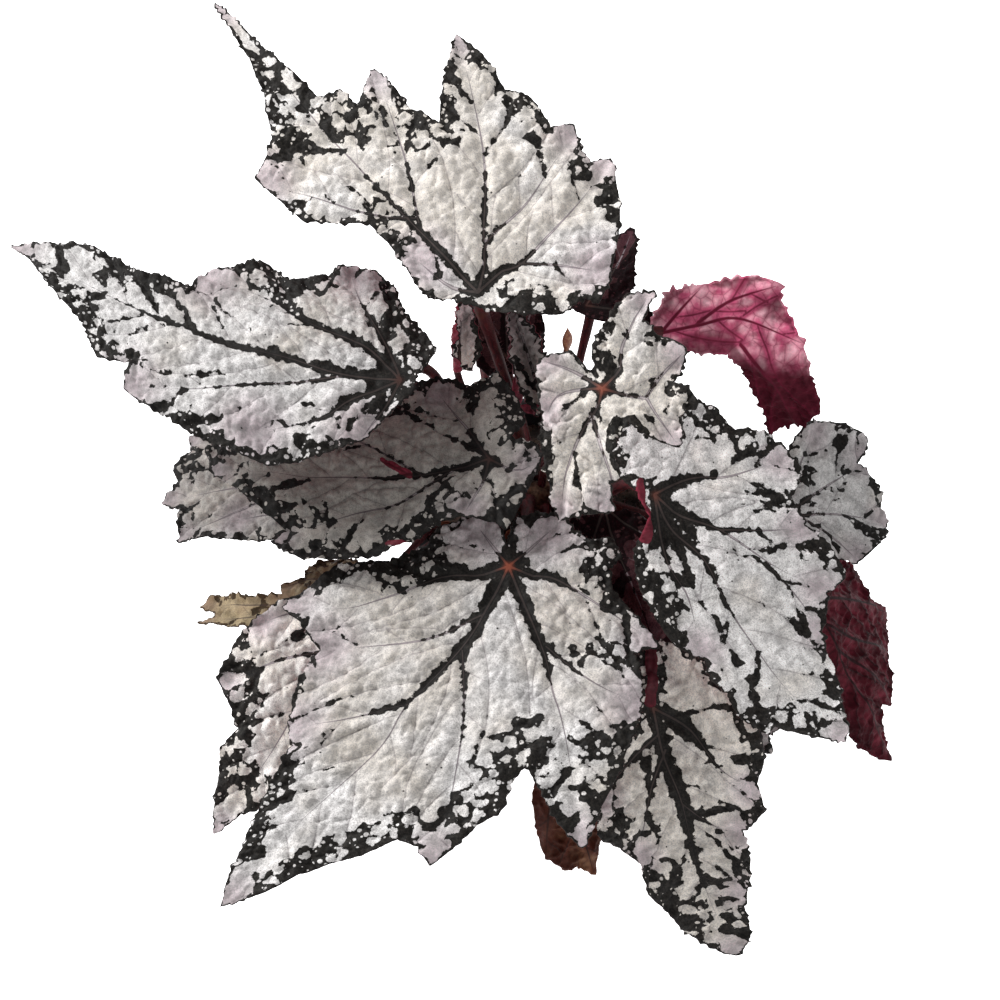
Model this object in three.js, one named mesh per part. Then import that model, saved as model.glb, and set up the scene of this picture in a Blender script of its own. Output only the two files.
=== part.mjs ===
// A potted rex begonia in millimetres, +Z up, with the viewer at -Y.
// The origin is the centre of the flat bottom of the pot.
import * as THREE from 'three';

// Pot
const potHeight = 115;
const potBaseRadius = 46;
const potShoulderRadius = 60;
const potRimRadius = 65;
const rimDepth = 20;
const rimRound = 1;
const rimLip = 3;
const rimFlare = 1.6;
const potWall = 3;
const potFloor = 4;
const footBevel = 2;
const potSides = 40;

// Clearance left between pieces that touch
const gap = 0.3;

// Soil
const soilHeight = 104;
const soilEdgeDrop = 2;
const soilFlatRadius = 46;

// Rhizome, the thick creeping stem that carries every leaf stalk
const rhizomeRadius = 8;
const rhizomeHalfLength = 32;
const rhizomeCentre = [0, 4];
const rhizomeSlope = 0.12;
const rhizomeRise = soilHeight + rhizomeRadius + gap;

// Leaf blade and stalk build
const bladeThickness = 1;
const bladeRings = [0.4, 0.75, 1];
const stalkSides = 8;
const stalkSteps = 10;
const sweepLength = 100;
const startPull = 0.4;
const endPull = 0.28;
const defaultTuck = 0.6;

// Every leaf. joint: where the stalk meets the blade. heading: compass direction of the main vein,
// counter-clockwise from +X. pitch: rise of the main vein. roll: turn about it, positive lifts the
// left side. sweep: sideways curve of the main vein at sweepLength. bends: [direction, start,
// length, degrees], each curling the blade down along one direction. outline: [along, across] from
// the joint, across to the left, as lobe tips and the notches between them. hub: a point that sees
// the whole outline. stalk: at is the place along the rhizome, lean is from the vertical, side is
// its compass direction, lift or by shape its upper part, tuck is how far it runs along the blade.
const leaves = {
  upper_back: {
    joint: [-28, 22, 248], heading: 131, pitch: 14, roll: -14, sweep: -1.2,
    bends: [[0, 20, 200, 20], [90, 10, 100, 14], [-90, 10, 100, 14]],
    hub: [40, -7],
    outline: [
      [-10, 1], [-21, -7], [-32, -22], [-34, -35], [-40, -38], [-35, -48], [-14, -73], [-4, -81],
      [15, -93], [19, -84], [26, -84], [39, -91], [44, -80], [63, -84], [74, -77], [97, -81],
      [115, -80], [90, -51], [78, -40], [95, -35], [111, -36], [125, -36], [113, -16], [127, -16],
      [131, -5], [156, -3], [184, -1], [217, 1], [196, 4], [173, 7], [150, 13], [127, 25],
      [120, 34], [116, 44], [91, 41], [80, 40], [66, 24], [59, 17], [46, 16], [34, 17],
      [20, 19], [12, 18], [5, 10],
    ],
    stalk: { at: -5, lean: 48, side: 98, radius: 4, by: [-26, 46, 192] },
  },
  left: {
    joint: [-64, -3, 215], heading: 166, pitch: 6, roll: -4, sweep: -10.3,
    bends: [[0, 10, 220, 28], [90, 10, 60, 22], [-90, 10, 60, 12]],
    hub: [86, 4],
    outline: [
      [-6, -5], [-8, -11], [-11, -20], [-3, -31], [9, -37], [22, -56], [41, -58], [50, -48],
      [68, -39], [80, -45], [91, -39], [109, -27], [113, -16], [141, -15], [171, -24], [193, -20],
      [226, -12], [209, -4], [179, 16], [159, 25], [144, 41], [126, 36], [126, 51], [112, 55],
      [97, 56], [87, 59], [65, 59], [45, 60], [23, 47], [9, 35], [2, 20], [-4, 10], [-7, 4],
    ],
    stalk: { at: -26, lean: 50, side: 116, radius: 3.6, by: [-54, 50, 186] },
  },
  mid_left: {
    joint: [-23, -24, 182], heading: 182, pitch: -4, roll: -4, sweep: -9.8,
    bends: [[0, 10, 140, 22], [90, 8, 60, 8], [-90, 8, 60, 8]],
    hub: [8, 0],
    outline: [
      [-10, -10], [-17, -17], [-15, -32], [-5, -50], [8, -43], [22, -48], [39, -44], [62, -42],
      [82, -28], [108, -27], [130, -18], [144, -15], [140, 0], [124, 11], [111, 22], [99, 34],
      [106, 41], [92, 49], [72, 50], [42, 45], [24, 32], [14, 30], [-2, 34], [-6, 38],
      [-12, 29], [-17, 18], [-25, 1], [-23, -6], [-13, -8],
    ],
    stalk: { at: -14, lean: 35, side: 245, radius: 3.4, tuck: 0.3 },
  },
  low_left: {
    joint: [-103, -1, 125], heading: 174, pitch: -6, roll: 0, sweep: 0,
    bends: [[0, 5, 100, 25], [90, 5, 50, 15], [-90, 5, 50, 15]],
    hub: [40, -8],
    outline: [
      [-9, -6], [-2, -22], [28, -40], [64, -52], [90, -52], [84, -36], [92, -25], [85, -12],
      [93, 0], [79, 8], [78, 27], [60, 26], [32, 30], [11, 27], [-6, 21], [-9, 6],
    ],
    stalk: { at: -31, lean: 58, side: 172, radius: 2.6, lift: 4 },
  },
  old_left: {
    joint: [-93, -41, 98], heading: 167, pitch: -16, roll: 0, sweep: 0,
    bends: [[0, 5, 90, 25], [90, 5, 50, 25], [-90, 5, 50, 25]],
    hub: [20, 14],
    outline: [
      [-5, -3], [-5, -12], [11, -18], [28, -13], [27, -5], [40, -1], [37, 5], [57, 5],
      [84, -1], [96, 2], [79, 11], [92, 15], [52, 24], [20, 31], [-4, 21], [-5, 9],
    ],
    stalk: { at: -31, lean: 34, side: 222, radius: 2.6, lift: -7, tuck: 0.95 },
  },
  front: {
    joint: [-14, -70, 160], heading: -122, pitch: -10, roll: 0, sweep: -10.1,
    bends: [[0, 20, 190, 24], [90, 10, 90, 12], [-90, 10, 90, 14]],
    hub: [4, 0],
    outline: [
      [-7, -5], [-17, -15], [-15, -27], [-1, -39], [9, -41], [24, -51], [38, -71], [51, -76],
      [67, -82], [70, -67], [77, -52], [94, -50], [115, -40], [122, -30], [148, -23], [177, -12],
      [202, 0], [185, 13], [171, 18], [160, 25], [148, 34], [135, 41], [133, 51], [138, 61],
      [112, 64], [101, 68], [89, 63], [77, 62], [84, 76], [93, 93], [96, 107], [76, 101],
      [48, 94], [27, 88], [14, 78], [7, 71], [-3, 80], [-7, 67], [-14, 48], [-22, 41],
      [-31, 43], [-36, 33], [-30, 26], [-31, 17], [-35, 9], [-32, -2], [-22, -10],
    ],
    stalk: { at: -5, lean: 50, side: 268, radius: 4 },
  },
  front_left: {
    joint: [-86, -58, 112], heading: -122, pitch: -17, roll: -8, sweep: -3.8,
    bends: [[0, 10, 120, 25], [90, 8, 60, 20], [-90, 8, 60, 20]],
    hub: [20, 0],
    outline: [
      [-7, -10], [4, -22], [20, -33], [33, -40], [47, -44], [57, -42], [69, -40], [74, -30],
      [84, -19], [98, -21], [111, -14], [136, 0], [120, 6], [113, 12], [99, 28], [77, 25],
      [65, 35], [34, 41], [5, 31], [-8, 15], [-9, 2],
    ],
    stalk: { at: -21, lean: 56, side: 240, radius: 3, lift: -6, tuck: 0.95 },
  },
  right: {
    joint: [53, -50, 190], heading: -54, pitch: -21, roll: 4, sweep: 11.5,
    bends: [[0, 15, 130, 26], [90, 10, 70, 12], [-90, 10, 70, 14]],
    hub: [20, 8],
    outline: [
      [-5, -6], [8, -9], [18, -24], [33, -32], [46, -34], [63, -36], [76, -29], [87, -33],
      [95, -31], [107, -35], [122, -30], [122, -24], [133, -16], [148, -3], [137, 5], [122, 13],
      [96, 26], [81, 39], [79, 53], [65, 56], [49, 53], [34, 55], [27, 70], [14, 70],
      [3, 66], [-6, 53], [-21, 50], [-33, 39], [-37, 21], [-40, 7],
      [-36, -2], [-24, -7], [-14, -8],
    ],
    stalk: { at: 27, lean: 45, side: 300, radius: 3.8 },
  },
  front_right: {
    joint: [53, -126, 126], heading: -69, pitch: -33, roll: 0, sweep: 9.3,
    bends: [[0, 10, 120, 24], [90, 2, 12, -18], [-90, 2, 12, -18], [90, 25, 40, 22],
      [-90, 25, 40, 22]],
    hub: [8, 0],
    outline: [
      [-7, -6], [0, -18], [15, -32], [30, -43], [47, -46], [56, -38], [67, -31], [83, -32],
      [95, -25], [111, -20], [122, -15], [130, -9], [121, -2], [106, 2], [84, 15], [69, 18],
      [63, 31], [49, 33], [39, 40], [23, 43], [3, 38], [-13, 31], [-19, 23], [-25, 11], [-26, 3],
    ],
    stalk: { at: 12, lean: 62, side: 285, radius: 3.6, lift: 14 },
  },
  young: {
    joint: [27, -39, 255], heading: -119, pitch: -32, roll: 0, sweep: 20.3,
    bends: [[0, 5, 60, 20], [90, 5, 40, 14], [-90, 5, 40, 14]],
    hub: [3, 4],
    outline: [
      [-5, -5], [-5, -10], [-10, -20], [-1, -32], [9, -27], [23, -21], [46, -10], [60, -2],
      [53, 8], [48, 21], [37, 17], [33, 20], [23, 15], [17, 14], [8, 17], [11, 27],
      [10, 41], [3, 40], [-3, 36], [-11, 41], [-15, 35], [-15, 27], [-21, 28], [-31, 26],
      [-31, 12], [-34, 5], [-48, 4], [-42, -6], [-30, -9], [-16, -12],
    ],
    stalk: { at: 13, lean: 5, side: 300, radius: 3.4 },
  },
  turned: {
    joint: [58, 28, 212], heading: -7, pitch: -2, roll: -143, sweep: 0,
    bends: [[0, 10, 60, 10], [90, 2, 12, -52]],
    hub: [44, -4],
    outline: [
      [-5, -5], [2, -20], [20, -26], [30, -29], [40, -32], [52, -30], [54, -22], [59, -15],
      [70, 4], [72, 11], [81, 31], [73, 44], [59, 53], [54, 38], [40, 12], [33, 6],
      [16, 8], [-4, 5],
    ],
    stalk: { at: 23, lean: 50, side: 70, radius: 3.2 },
  },
  far_right: {
    joint: [119, -34, 150], heading: 14, pitch: -17, roll: 4, sweep: 0,
    bends: [[0, 5, 60, 22], [90, 36, 8, -35], [-90, 8, 40, 14]],
    hub: [29, 20],
    outline: [
      [-5, -4], [-2, -14], [12, -21], [33, -26], [43, -20], [59, -7], [65, 1], [66, 16],
      [62, 29], [56, 34], [68, 44], [48, 51], [24, 52], [15, 38], [1, 20], [-6, 4],
    ],
    stalk: { at: 31, lean: 45, side: 35, radius: 3, lift: 14 },
  },
  hanging_right: {
    joint: [131, -62, 118], heading: -37, pitch: -45, roll: 165, sweep: 0,
    bends: [[0, 5, 80, -12], [90, 8, 30, -20], [-90, 8, 30, -16]],
    hub: [35, -14],
    outline: [
      [-7, -4], [-5, -21], [14, -53], [31, -61], [43, -55], [64, -71], [73, -57], [86, -18],
      [76, -9], [93, -4], [106, 2], [78, 22], [57, 24], [33, 29], [8, 20], [-5, 5],
    ],
    stalk: { at: 31, lean: 80, side: -24, radius: 3, by: [114, -68, 148] },
  },
  dark_back: {
    joint: [26, 68, 186], heading: 61, pitch: 23, roll: -20, sweep: 0,
    bends: [[0, 5, 60, 20]],
    hub: [5, -8],
    outline: [
      [-7, -10], [-3, -33], [-5, -45], [-9, -66], [-4, -61], [-1, -44], [7, -32], [9, -22],
      [28, -13], [41, -6], [47, 3], [36, 7], [28, 16], [16, 28], [2, 23], [-5, 6],
    ],
    stalk: { at: 13, lean: 62, side: 85, radius: 3 },
  },
  inner: {
    joint: [32, -31, 152], heading: -72, pitch: -6, roll: 0, sweep: 0,
    bends: [[0, 5, 80, 10]],
    hub: [22, 0],
    outline: [
      [-6, -3], [-7, -13], [4, -21], [18, -19], [30, -25], [41, -18], [52, -17], [58, -10], [72, -2],
      [79, 6], [76, 14], [60, 17], [52, 20], [40, 17], [28, 24], [14, 20], [7, 14], [3, 4], [-6, 1],
    ],
    stalk: { at: 21, lean: 14, side: 270, radius: 2.4 },
  },
  low_right: {
    joint: [74, -102, 100], heading: -6, pitch: -29, roll: 0, sweep: 0,
    bends: [[0, 5, 50, 20]],
    hub: [20, 0],
    outline: [
      [-6, -5], [1, -16], [16, -24], [26, -21], [35, -27], [40, -17], [53, -13], [51, -3],
      [59, 4], [57, 13], [69, 25], [55, 28], [51, 34], [36, 29], [22, 29], [4, 15], [-6, 5],
    ],
    stalk: { at: 19, lean: 66, side: 290, radius: 2.8, lift: -1, tuck: 0.95 },
  },
  hanging_front: {
    joint: [14, -130, 82], heading: -70, pitch: -38, roll: 175, sweep: 0,
    bends: [[0, 5, 50, -15], [90, 5, 20, -25], [-90, 5, 20, -25]],
    hub: [14, 0],
    outline: [
      [-5, -5], [10, -13], [25, -14], [49, -5], [61, -1], [53, 8], [53, 14], [45, 21],
      [37, 24], [13, 21], [5, 17], [-6, 4],
    ],
    stalk: { at: 4, lean: 82, side: 272, radius: 2.8, lift: 58 },
  },
  low_back: {
    joint: [-50, 156, 150], heading: 126, pitch: 5, roll: 0, sweep: 0,
    bends: [[0, 10, 110, 30], [90, 8, 50, 25], [-90, 8, 50, 25]],
    hub: [11, 4],
    outline: [
      [-8, -2], [-21, -10], [-25, -28], [-11, -47], [10, -48], [26, -65], [32, -51], [47, -50],
      [41, -40], [62, -39], [64, -18], [82, -17], [91, -4], [119, -4], [164, 3], [121, 17],
      [107, 35], [80, 31], [64, 37], [45, 28], [26, 28], [2, 21], [-5, 5],
    ],
    stalk: { at: -13, lean: 75, side: 104, radius: 3.2, lift: 2 },
  },
  shaded: {
    joint: [-14, 62, 150], heading: 95, pitch: 62, roll: 0, sweep: 0,
    bends: [[0, 5, 60, 12]],
    hub: [18, 0],
    outline: [
      [-6, -3], [-10, -11], [2, -17], [16, -19], [30, -16], [38, -18], [48, -9], [62, 0],
      [49, 8], [40, 17], [28, 17], [14, 19], [0, 16], [-9, 10], [-6, 3],
    ],
    stalk: { at: 1, lean: 66, side: 96, radius: 2.2 },
  },
  furled_left: {
    joint: [-38, 38, 178], heading: 86, pitch: 58, roll: 25, sweep: 0,
    bends: [[0, 5, 40, -10], [90, 1, 4, -68], [-90, 1, 4, -68]],
    hub: [8, 0],
    outline: [
      [-4, -2], [-2, -11], [9, -15], [25, -14], [47, -7], [54, 0], [47, 7], [25, 14],
      [9, 15], [-2, 11], [-4, 2],
    ],
    stalk: { at: -18, lean: 44, side: 95, radius: 2.2 },
  },
  furled_right: {
    joint: [3, 27, 160], heading: 117, pitch: 50, roll: -20, sweep: 0,
    bends: [[0, 5, 60, -10], [90, 1, 5, -62], [-90, 1, 5, -62]],
    hub: [8, 0],
    outline: [
      [-5, -3], [-2, -14], [11, -19], [33, -19], [59, -8], [70, 0], [59, 8], [31, 18],
      [10, 17], [-2, 13], [-5, 3],
    ],
    stalk: { at: 3, lean: 8, side: 40, radius: 2.2 },
  },
};

// New growth: a pointed bud on a short stalk, and papery scales at the foot of the stalks
const bud = {
  tip: [14.5, 40, 202], length: 17, radius: 3.2,
  at: 8, lean: 30, side: 80, stalkRadius: 1.6, pull: 28,
};
const scaleRadius = 3.5;
const scaleLength = 18;
const scaleFlatness = 0.45;
const scales = [
  { name: 'scale_left', foot: [-42, -12], side: 215, lean: 30 },
  { name: 'scale_front', foot: [-13, -14], side: 262, lean: 34 },
  { name: 'scale_right', foot: [44, 12], side: 20, lean: 32 },
];

const leafUpper = new THREE.MeshStandardMaterial({ color: 0xb9b2ae, roughness: 0.55 });
const leafAged = new THREE.MeshStandardMaterial({ color: 0x8a7358, roughness: 0.7 });
const leafUnder = new THREE.MeshStandardMaterial({ color: 0x5a1a2c, roughness: 0.6 });
const stalkSkin = new THREE.MeshStandardMaterial({ color: 0x5b2023, roughness: 0.6 });
const rhizomeSkin = new THREE.MeshStandardMaterial({ color: 0x5c4632, roughness: 0.85 });
const soilGrain = new THREE.MeshStandardMaterial({ color: 0x2b2019, roughness: 1 });
const potPlastic = new THREE.MeshStandardMaterial({ color: 0x2e2f31, roughness: 0.6 });
const bladeSkin = {
  old_left: leafAged, hanging_front: leafAged, turned: leafUnder, hanging_right: leafUnder,
};

const radians = THREE.MathUtils.degToRad;

function mesh(name, geometry, material) {
  const result = new THREE.Mesh(geometry, material);
  result.name = name;
  return result;
}

// Unit vector that leans from the vertical towards a compass direction.
function leaning(lean, side) {
  const out = Math.sin(radians(lean));
  return new THREE.Vector3(
    out * Math.cos(radians(side)),
    out * Math.sin(radians(side)),
    Math.cos(radians(lean)),
  );
}

// Axes of a blade: along the main vein, across to its left, and out of its upper face.
function bladeAxes(leaf) {
  const h = radians(leaf.heading);
  const p = radians(leaf.pitch);
  const r = radians(leaf.roll);
  const along = new THREE.Vector3(Math.cos(h) * Math.cos(p), Math.sin(h) * Math.cos(p), Math.sin(p));
  const level = new THREE.Vector3(-Math.sin(h), Math.cos(h), 0);
  const upright = along.clone().cross(level);
  const across = level.clone().multiplyScalar(Math.cos(r)).addScaledVector(upright, Math.sin(r));
  const out = along.clone().cross(across);
  return { along, across, out };
}

// Rolls a flat point down over an arc that starts some way out in one direction.
function bent(point, [direction, start, length, degrees]) {
  const e = [Math.cos(radians(direction)), Math.sin(radians(direction))];
  const reach = point.x * e[0] + point.y * e[1];
  if (reach <= start) return;
  const turn = radians(degrees) * Math.min(reach - start, length) / length;
  const arc = length / radians(degrees);
  const extra = Math.max(0, reach - start - length);
  const radius = arc + point.z;
  const newReach = start + radius * Math.sin(turn) + extra * Math.cos(turn);
  point.x += e[0] * (newReach - reach);
  point.y += e[1] * (newReach - reach);
  point.z = -arc + radius * Math.cos(turn) - extra * Math.sin(turn);
}

// A thin disc whose spokes are stretched to the outline, then swept and bent.
function bladeBody(leaf) {
  const half = bladeThickness / 2;
  const profile = [new THREE.Vector2(0, -half)];
  for (const ring of bladeRings) profile.push(new THREE.Vector2(ring, -half));
  for (const ring of bladeRings.slice().reverse()) profile.push(new THREE.Vector2(ring, half));
  profile.push(new THREE.Vector2(0, half));
  const spokes = leaf.outline.length;
  const disc = new THREE.LatheGeometry(profile, spokes);
  const positions = disc.getAttribute('position');
  for (let i = 0; i < positions.count; i += 1) {
    const end = leaf.outline[Math.floor(i / profile.length) % spokes];
    const { x: share, y: height } = profile[i % profile.length];
    const u = leaf.hub[0] + share * (end[0] - leaf.hub[0]);
    const v = leaf.hub[1] + share * (end[1] - leaf.hub[1]);
    const swept = v + leaf.sweep * (Math.max(u, 0) / sweepLength) ** 2;
    const point = new THREE.Vector3(u, swept, height);
    for (const bend of leaf.bends) bent(point, bend);
    positions.setXYZ(i, point.x, point.y, point.z);
  }
  disc.computeVertexNormals();
  return disc;
}

function rhizomePoint(at) {
  return new THREE.Vector3(rhizomeCentre[0] + at, rhizomeCentre[1] + rhizomeSlope * at, rhizomeRise);
}

// Foot of a stalk: just clear of the rhizome, whatever way the stalk leans.
function stalkFoot(at, direction, radius) {
  const axis = new THREE.Vector3(1, rhizomeSlope, 0).normalize();
  const outward = direction.clone().addScaledVector(axis, -direction.dot(axis)).normalize();
  const tilt = Math.sqrt(Math.max(0, 1 - direction.dot(outward) ** 2));
  return rhizomePoint(at).addScaledVector(outward, rhizomeRadius + gap + radius * tilt);
}

function roundBar(curve, radius) {
  const section = new THREE.Shape();
  for (let i = 0; i < stalkSides; i += 1) {
    const angle = 2 * Math.PI * i / stalkSides;
    const place = [radius * Math.cos(angle), radius * Math.sin(angle)];
    if (i === 0) section.moveTo(...place);
    else section.lineTo(...place);
  }
  section.closePath();
  return new THREE.ExtrudeGeometry(section, { steps: stalkSteps, extrudePath: curve });
}

function leafStalk(leaf) {
  const { at, lean, side, radius, lift = 0, by, tuck = defaultTuck } = leaf.stalk;
  const { along, out } = bladeAxes(leaf);
  const rising = leaning(lean, side);
  const foot = stalkFoot(at, rising, radius);
  const arrival = along.clone().multiplyScalar(tuck).addScaledVector(out, 1 - tuck).normalize();
  const joint = new THREE.Vector3(...leaf.joint);
  const guess = joint.clone().sub(foot).length();
  const upper = by ? new THREE.Vector3(...by)
    : joint.clone().addScaledVector(arrival, -endPull * guess).add(new THREE.Vector3(0, 0, lift));
  const finish = joint.clone().sub(upper).normalize();
  const tilt = Math.sqrt(Math.max(0, 1 - finish.dot(out) ** 2));
  const top = joint.addScaledVector(out, -(bladeThickness / 2 + gap + radius * tilt));
  const lower = foot.clone().addScaledVector(rising, startPull * guess);
  return roundBar(new THREE.CubicBezierCurve3(foot, lower, upper, top), radius);
}

function potBody() {
  const shoulderHeight = potHeight - rimDepth;
  const inner = potBaseRadius - potWall;
  return new THREE.LatheGeometry([
    [0, 0], [potBaseRadius - footBevel, 0], [potBaseRadius, footBevel],
    [potShoulderRadius, shoulderHeight], [potRimRadius - rimRound, shoulderHeight],
    [potRimRadius, shoulderHeight + rimRound], [potRimRadius, potHeight - rimRound],
    [potRimRadius - rimRound, potHeight], [potRimRadius - potWall, potHeight],
    [potShoulderRadius - potWall + rimFlare, potHeight - rimLip],
    [potShoulderRadius - potWall, shoulderHeight], [inner, potFloor], [0, potFloor],
  ].map(([r, z]) => new THREE.Vector2(r, z)), potSides).rotateX(Math.PI / 2);
}

// Inner radius of the pot wall at a height below the rim.
function innerRadius(height) {
  const shoulderHeight = potHeight - rimDepth;
  const low = potBaseRadius - potWall;
  const high = potShoulderRadius - potWall;
  if (height > shoulderHeight) return high + rimFlare * (height - shoulderHeight) / (rimDepth - rimLip);
  return low + (high - low) * (height - potFloor) / (shoulderHeight - potFloor);
}

function soilBody() {
  const shoulderHeight = potHeight - rimDepth;
  const edgeHeight = soilHeight - soilEdgeDrop;
  return new THREE.LatheGeometry([
    [0, potFloor + gap], [innerRadius(potFloor) - gap, potFloor + gap],
    [innerRadius(shoulderHeight) - gap, shoulderHeight],
    [innerRadius(edgeHeight) - gap, edgeHeight],
    [soilFlatRadius, soilHeight], [0, soilHeight],
  ].map(([r, z]) => new THREE.Vector2(r, z)), potSides).rotateX(Math.PI / 2);
}

function rhizomeBody() {
  const bar = new THREE.CapsuleGeometry(rhizomeRadius, 2 * rhizomeHalfLength, 4, 14);
  const middle = rhizomePoint(0);
  return bar.rotateZ(-Math.PI / 2)
    .rotateZ(Math.atan(rhizomeSlope))
    .translate(middle.x, middle.y, middle.z);
}

// A slim pointed body that stands on its round end at the origin and points up +Z.
function pointed(radius, length) {
  return new THREE.LatheGeometry([
    [0, 0], [0.7 * radius, 0.05 * length], [radius, 0.3 * length], [0.8 * radius, 0.6 * length],
    [0.35 * radius, 0.87 * length], [0, length],
  ].map(([r, z]) => new THREE.Vector2(r, z)), 10).rotateX(Math.PI / 2);
}

function budParts() {
  const tip = new THREE.Vector3(...bud.tip);
  const rising = leaning(bud.lean, bud.side);
  const foot = stalkFoot(bud.at, rising, bud.stalkRadius);
  const seat = tip.clone().add(new THREE.Vector3(0, 0, -bud.length));
  const top = seat.clone().add(new THREE.Vector3(0, 0, -gap));
  const lower = foot.clone().addScaledVector(rising, bud.pull);
  const upper = top.clone().add(new THREE.Vector3(0, 0, -bud.pull));
  const curve = new THREE.CubicBezierCurve3(foot, lower, upper, top);
  return [
    mesh('bud', pointed(bud.radius, bud.length).translate(seat.x, seat.y, seat.z), stalkSkin),
    mesh('bud_stalk', roundBar(curve, bud.stalkRadius), stalkSkin),
  ];
}

// A papery scale stands on the soil and leans out from the rhizome.
function scaleBody({ foot, side, lean }) {
  const body = pointed(scaleRadius, scaleLength).scale(scaleFlatness, 1, 1);
  return body.rotateY(radians(lean))
    .rotateZ(radians(side))
    .translate(foot[0], foot[1], soilHeight + gap);
}

function bladeMesh(name, leaf) {
  const { along, across, out } = bladeAxes(leaf);
  const result = mesh(`blade_${name}`, bladeBody(leaf), bladeSkin[name] ?? leafUpper);
  result.position.set(...leaf.joint);
  result.quaternion.setFromRotationMatrix(new THREE.Matrix4().makeBasis(along, across, out));
  return result;
}

const plant = new THREE.Group();
plant.add(mesh('pot', potBody(), potPlastic));
plant.add(mesh('soil', soilBody(), soilGrain));
plant.add(mesh('rhizome', rhizomeBody(), rhizomeSkin));
for (const [name, leaf] of Object.entries(leaves)) {
  plant.add(bladeMesh(name, leaf));
  plant.add(mesh(`stalk_${name}`, leafStalk(leaf), stalkSkin));
}
plant.add(...budParts());
for (const scale of scales) plant.add(mesh(scale.name, scaleBody(scale), stalkSkin));
export default plant;
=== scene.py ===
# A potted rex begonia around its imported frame: metres, +Z up, the viewer at -Y.
# Leaf numbers below are in millimetres and are turned into metres when a mesh is made.
from math import cos, pi, radians, sin, sqrt, tau
import bpy
import numpy as np
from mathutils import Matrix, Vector
from mathutils.geometry import delaunay_2d_cdt


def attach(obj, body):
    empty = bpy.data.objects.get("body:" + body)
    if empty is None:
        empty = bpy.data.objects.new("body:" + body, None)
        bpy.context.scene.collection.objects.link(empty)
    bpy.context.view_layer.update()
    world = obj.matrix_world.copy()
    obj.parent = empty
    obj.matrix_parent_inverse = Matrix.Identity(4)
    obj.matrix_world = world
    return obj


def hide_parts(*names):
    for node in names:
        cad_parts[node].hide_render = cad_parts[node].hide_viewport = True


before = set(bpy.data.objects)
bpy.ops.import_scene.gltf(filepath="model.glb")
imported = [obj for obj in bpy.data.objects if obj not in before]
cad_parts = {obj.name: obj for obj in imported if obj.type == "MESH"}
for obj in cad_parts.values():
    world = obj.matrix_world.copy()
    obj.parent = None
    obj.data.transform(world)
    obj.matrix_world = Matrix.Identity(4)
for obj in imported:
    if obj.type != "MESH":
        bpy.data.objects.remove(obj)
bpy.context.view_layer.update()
mm = 0.001
print("begonia: frame loaded,", len(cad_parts), "nodes")


# Small helpers for nodes, meshes and patterns

def addNode(tree, kind, inputs=None, **settings):
    node = tree.nodes.new(kind)
    for name, value in settings.items():
        setattr(node, name, value)
    for key, value in (inputs or {}).items():
        if isinstance(value, bpy.types.NodeSocket):
            tree.links.new(value, node.inputs[key])
        else:
            node.inputs[key].default_value = value
    return node


def sums(tree, operation, first, second=0.0):
    return addNode(tree, "ShaderNodeMath", {0: first, 1: second}, operation=operation).outputs[0]


def scaled(tree, value, factor, plus=0.0):
    inputs = {0: value, 1: factor, 2: plus}
    return addNode(tree, "ShaderNodeMath", inputs, operation="MULTIPLY_ADD").outputs[0]


def between(tree, value, low, high, start=0.0, end=1.0):
    node = addNode(tree, "ShaderNodeMapRange", {
        "Value": value, "From Min": low, "From Max": high, "To Min": start, "To Max": end,
    }, interpolation_type="SMOOTHSTEP")
    return node.outputs["Result"]


def blend(tree, factor, first, second, way="MIX"):
    node = addNode(tree, "ShaderNodeMix", {0: factor, 6: first, 7: second}, data_type="RGBA",
                   blend_type=way)
    return node.outputs[2]


def grain(tree, where, size, detail=2.0, roughness=0.5):
    node = addNode(tree, "ShaderNodeTexNoise", {
        "Vector": where, "Scale": 1 / size, "Detail": detail, "Roughness": roughness})
    return node.outputs["Fac"]


def spots(tree, where, size):
    return addNode(tree, "ShaderNodeTexVoronoi", {"Vector": where, "Scale": 1 / size})


def attribute(tree, name):
    return addNode(tree, "ShaderNodeAttribute", attribute_name=name).outputs["Vector"]


def scalar(tree, name):
    return addNode(tree, "ShaderNodeAttribute", attribute_name=name).outputs["Fac"]


def parts(tree, vector):
    return addNode(tree, "ShaderNodeSeparateXYZ", {0: vector}).outputs


def newMaterial(name):
    material = bpy.data.materials.new(name)
    material.use_nodes = True
    tree = material.node_tree
    return material, tree, tree.nodes["Principled BSDF"]


def bump(tree, shader, height, distance, strength=1.0):
    node = addNode(tree, "ShaderNodeBump", {
        "Height": height, "Distance": distance, "Strength": strength})
    tree.links.new(node.outputs["Normal"], shader.inputs["Normal"])


def newPiece(name, points, faces, material, smooth=True):
    mesh = bpy.data.meshes.new(name)
    mesh.from_pydata([tuple(p) for p in points], [], faces)
    mesh.polygons.foreach_set("use_smooth", [smooth] * len(mesh.polygons))
    mesh.materials.append(material)
    piece = bpy.data.objects.new(name, mesh)
    bpy.context.scene.collection.objects.link(piece)
    return piece


def ringFaces(rings, sides):
    # the squares between each ring of points and the next
    faces = []
    for k in range(rings - 1):
        for j in range(sides):
            a, b = k * sides + j, k * sides + (j + 1) % sides
            faces.append((a, b, b + sides, a + sides))
    return faces


def setVectors(piece, name, vectors):
    data = piece.data.attributes.new(name, "FLOAT_VECTOR", "POINT").data
    data.foreach_set("vector", np.array(vectors, np.float32).ravel())


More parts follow.
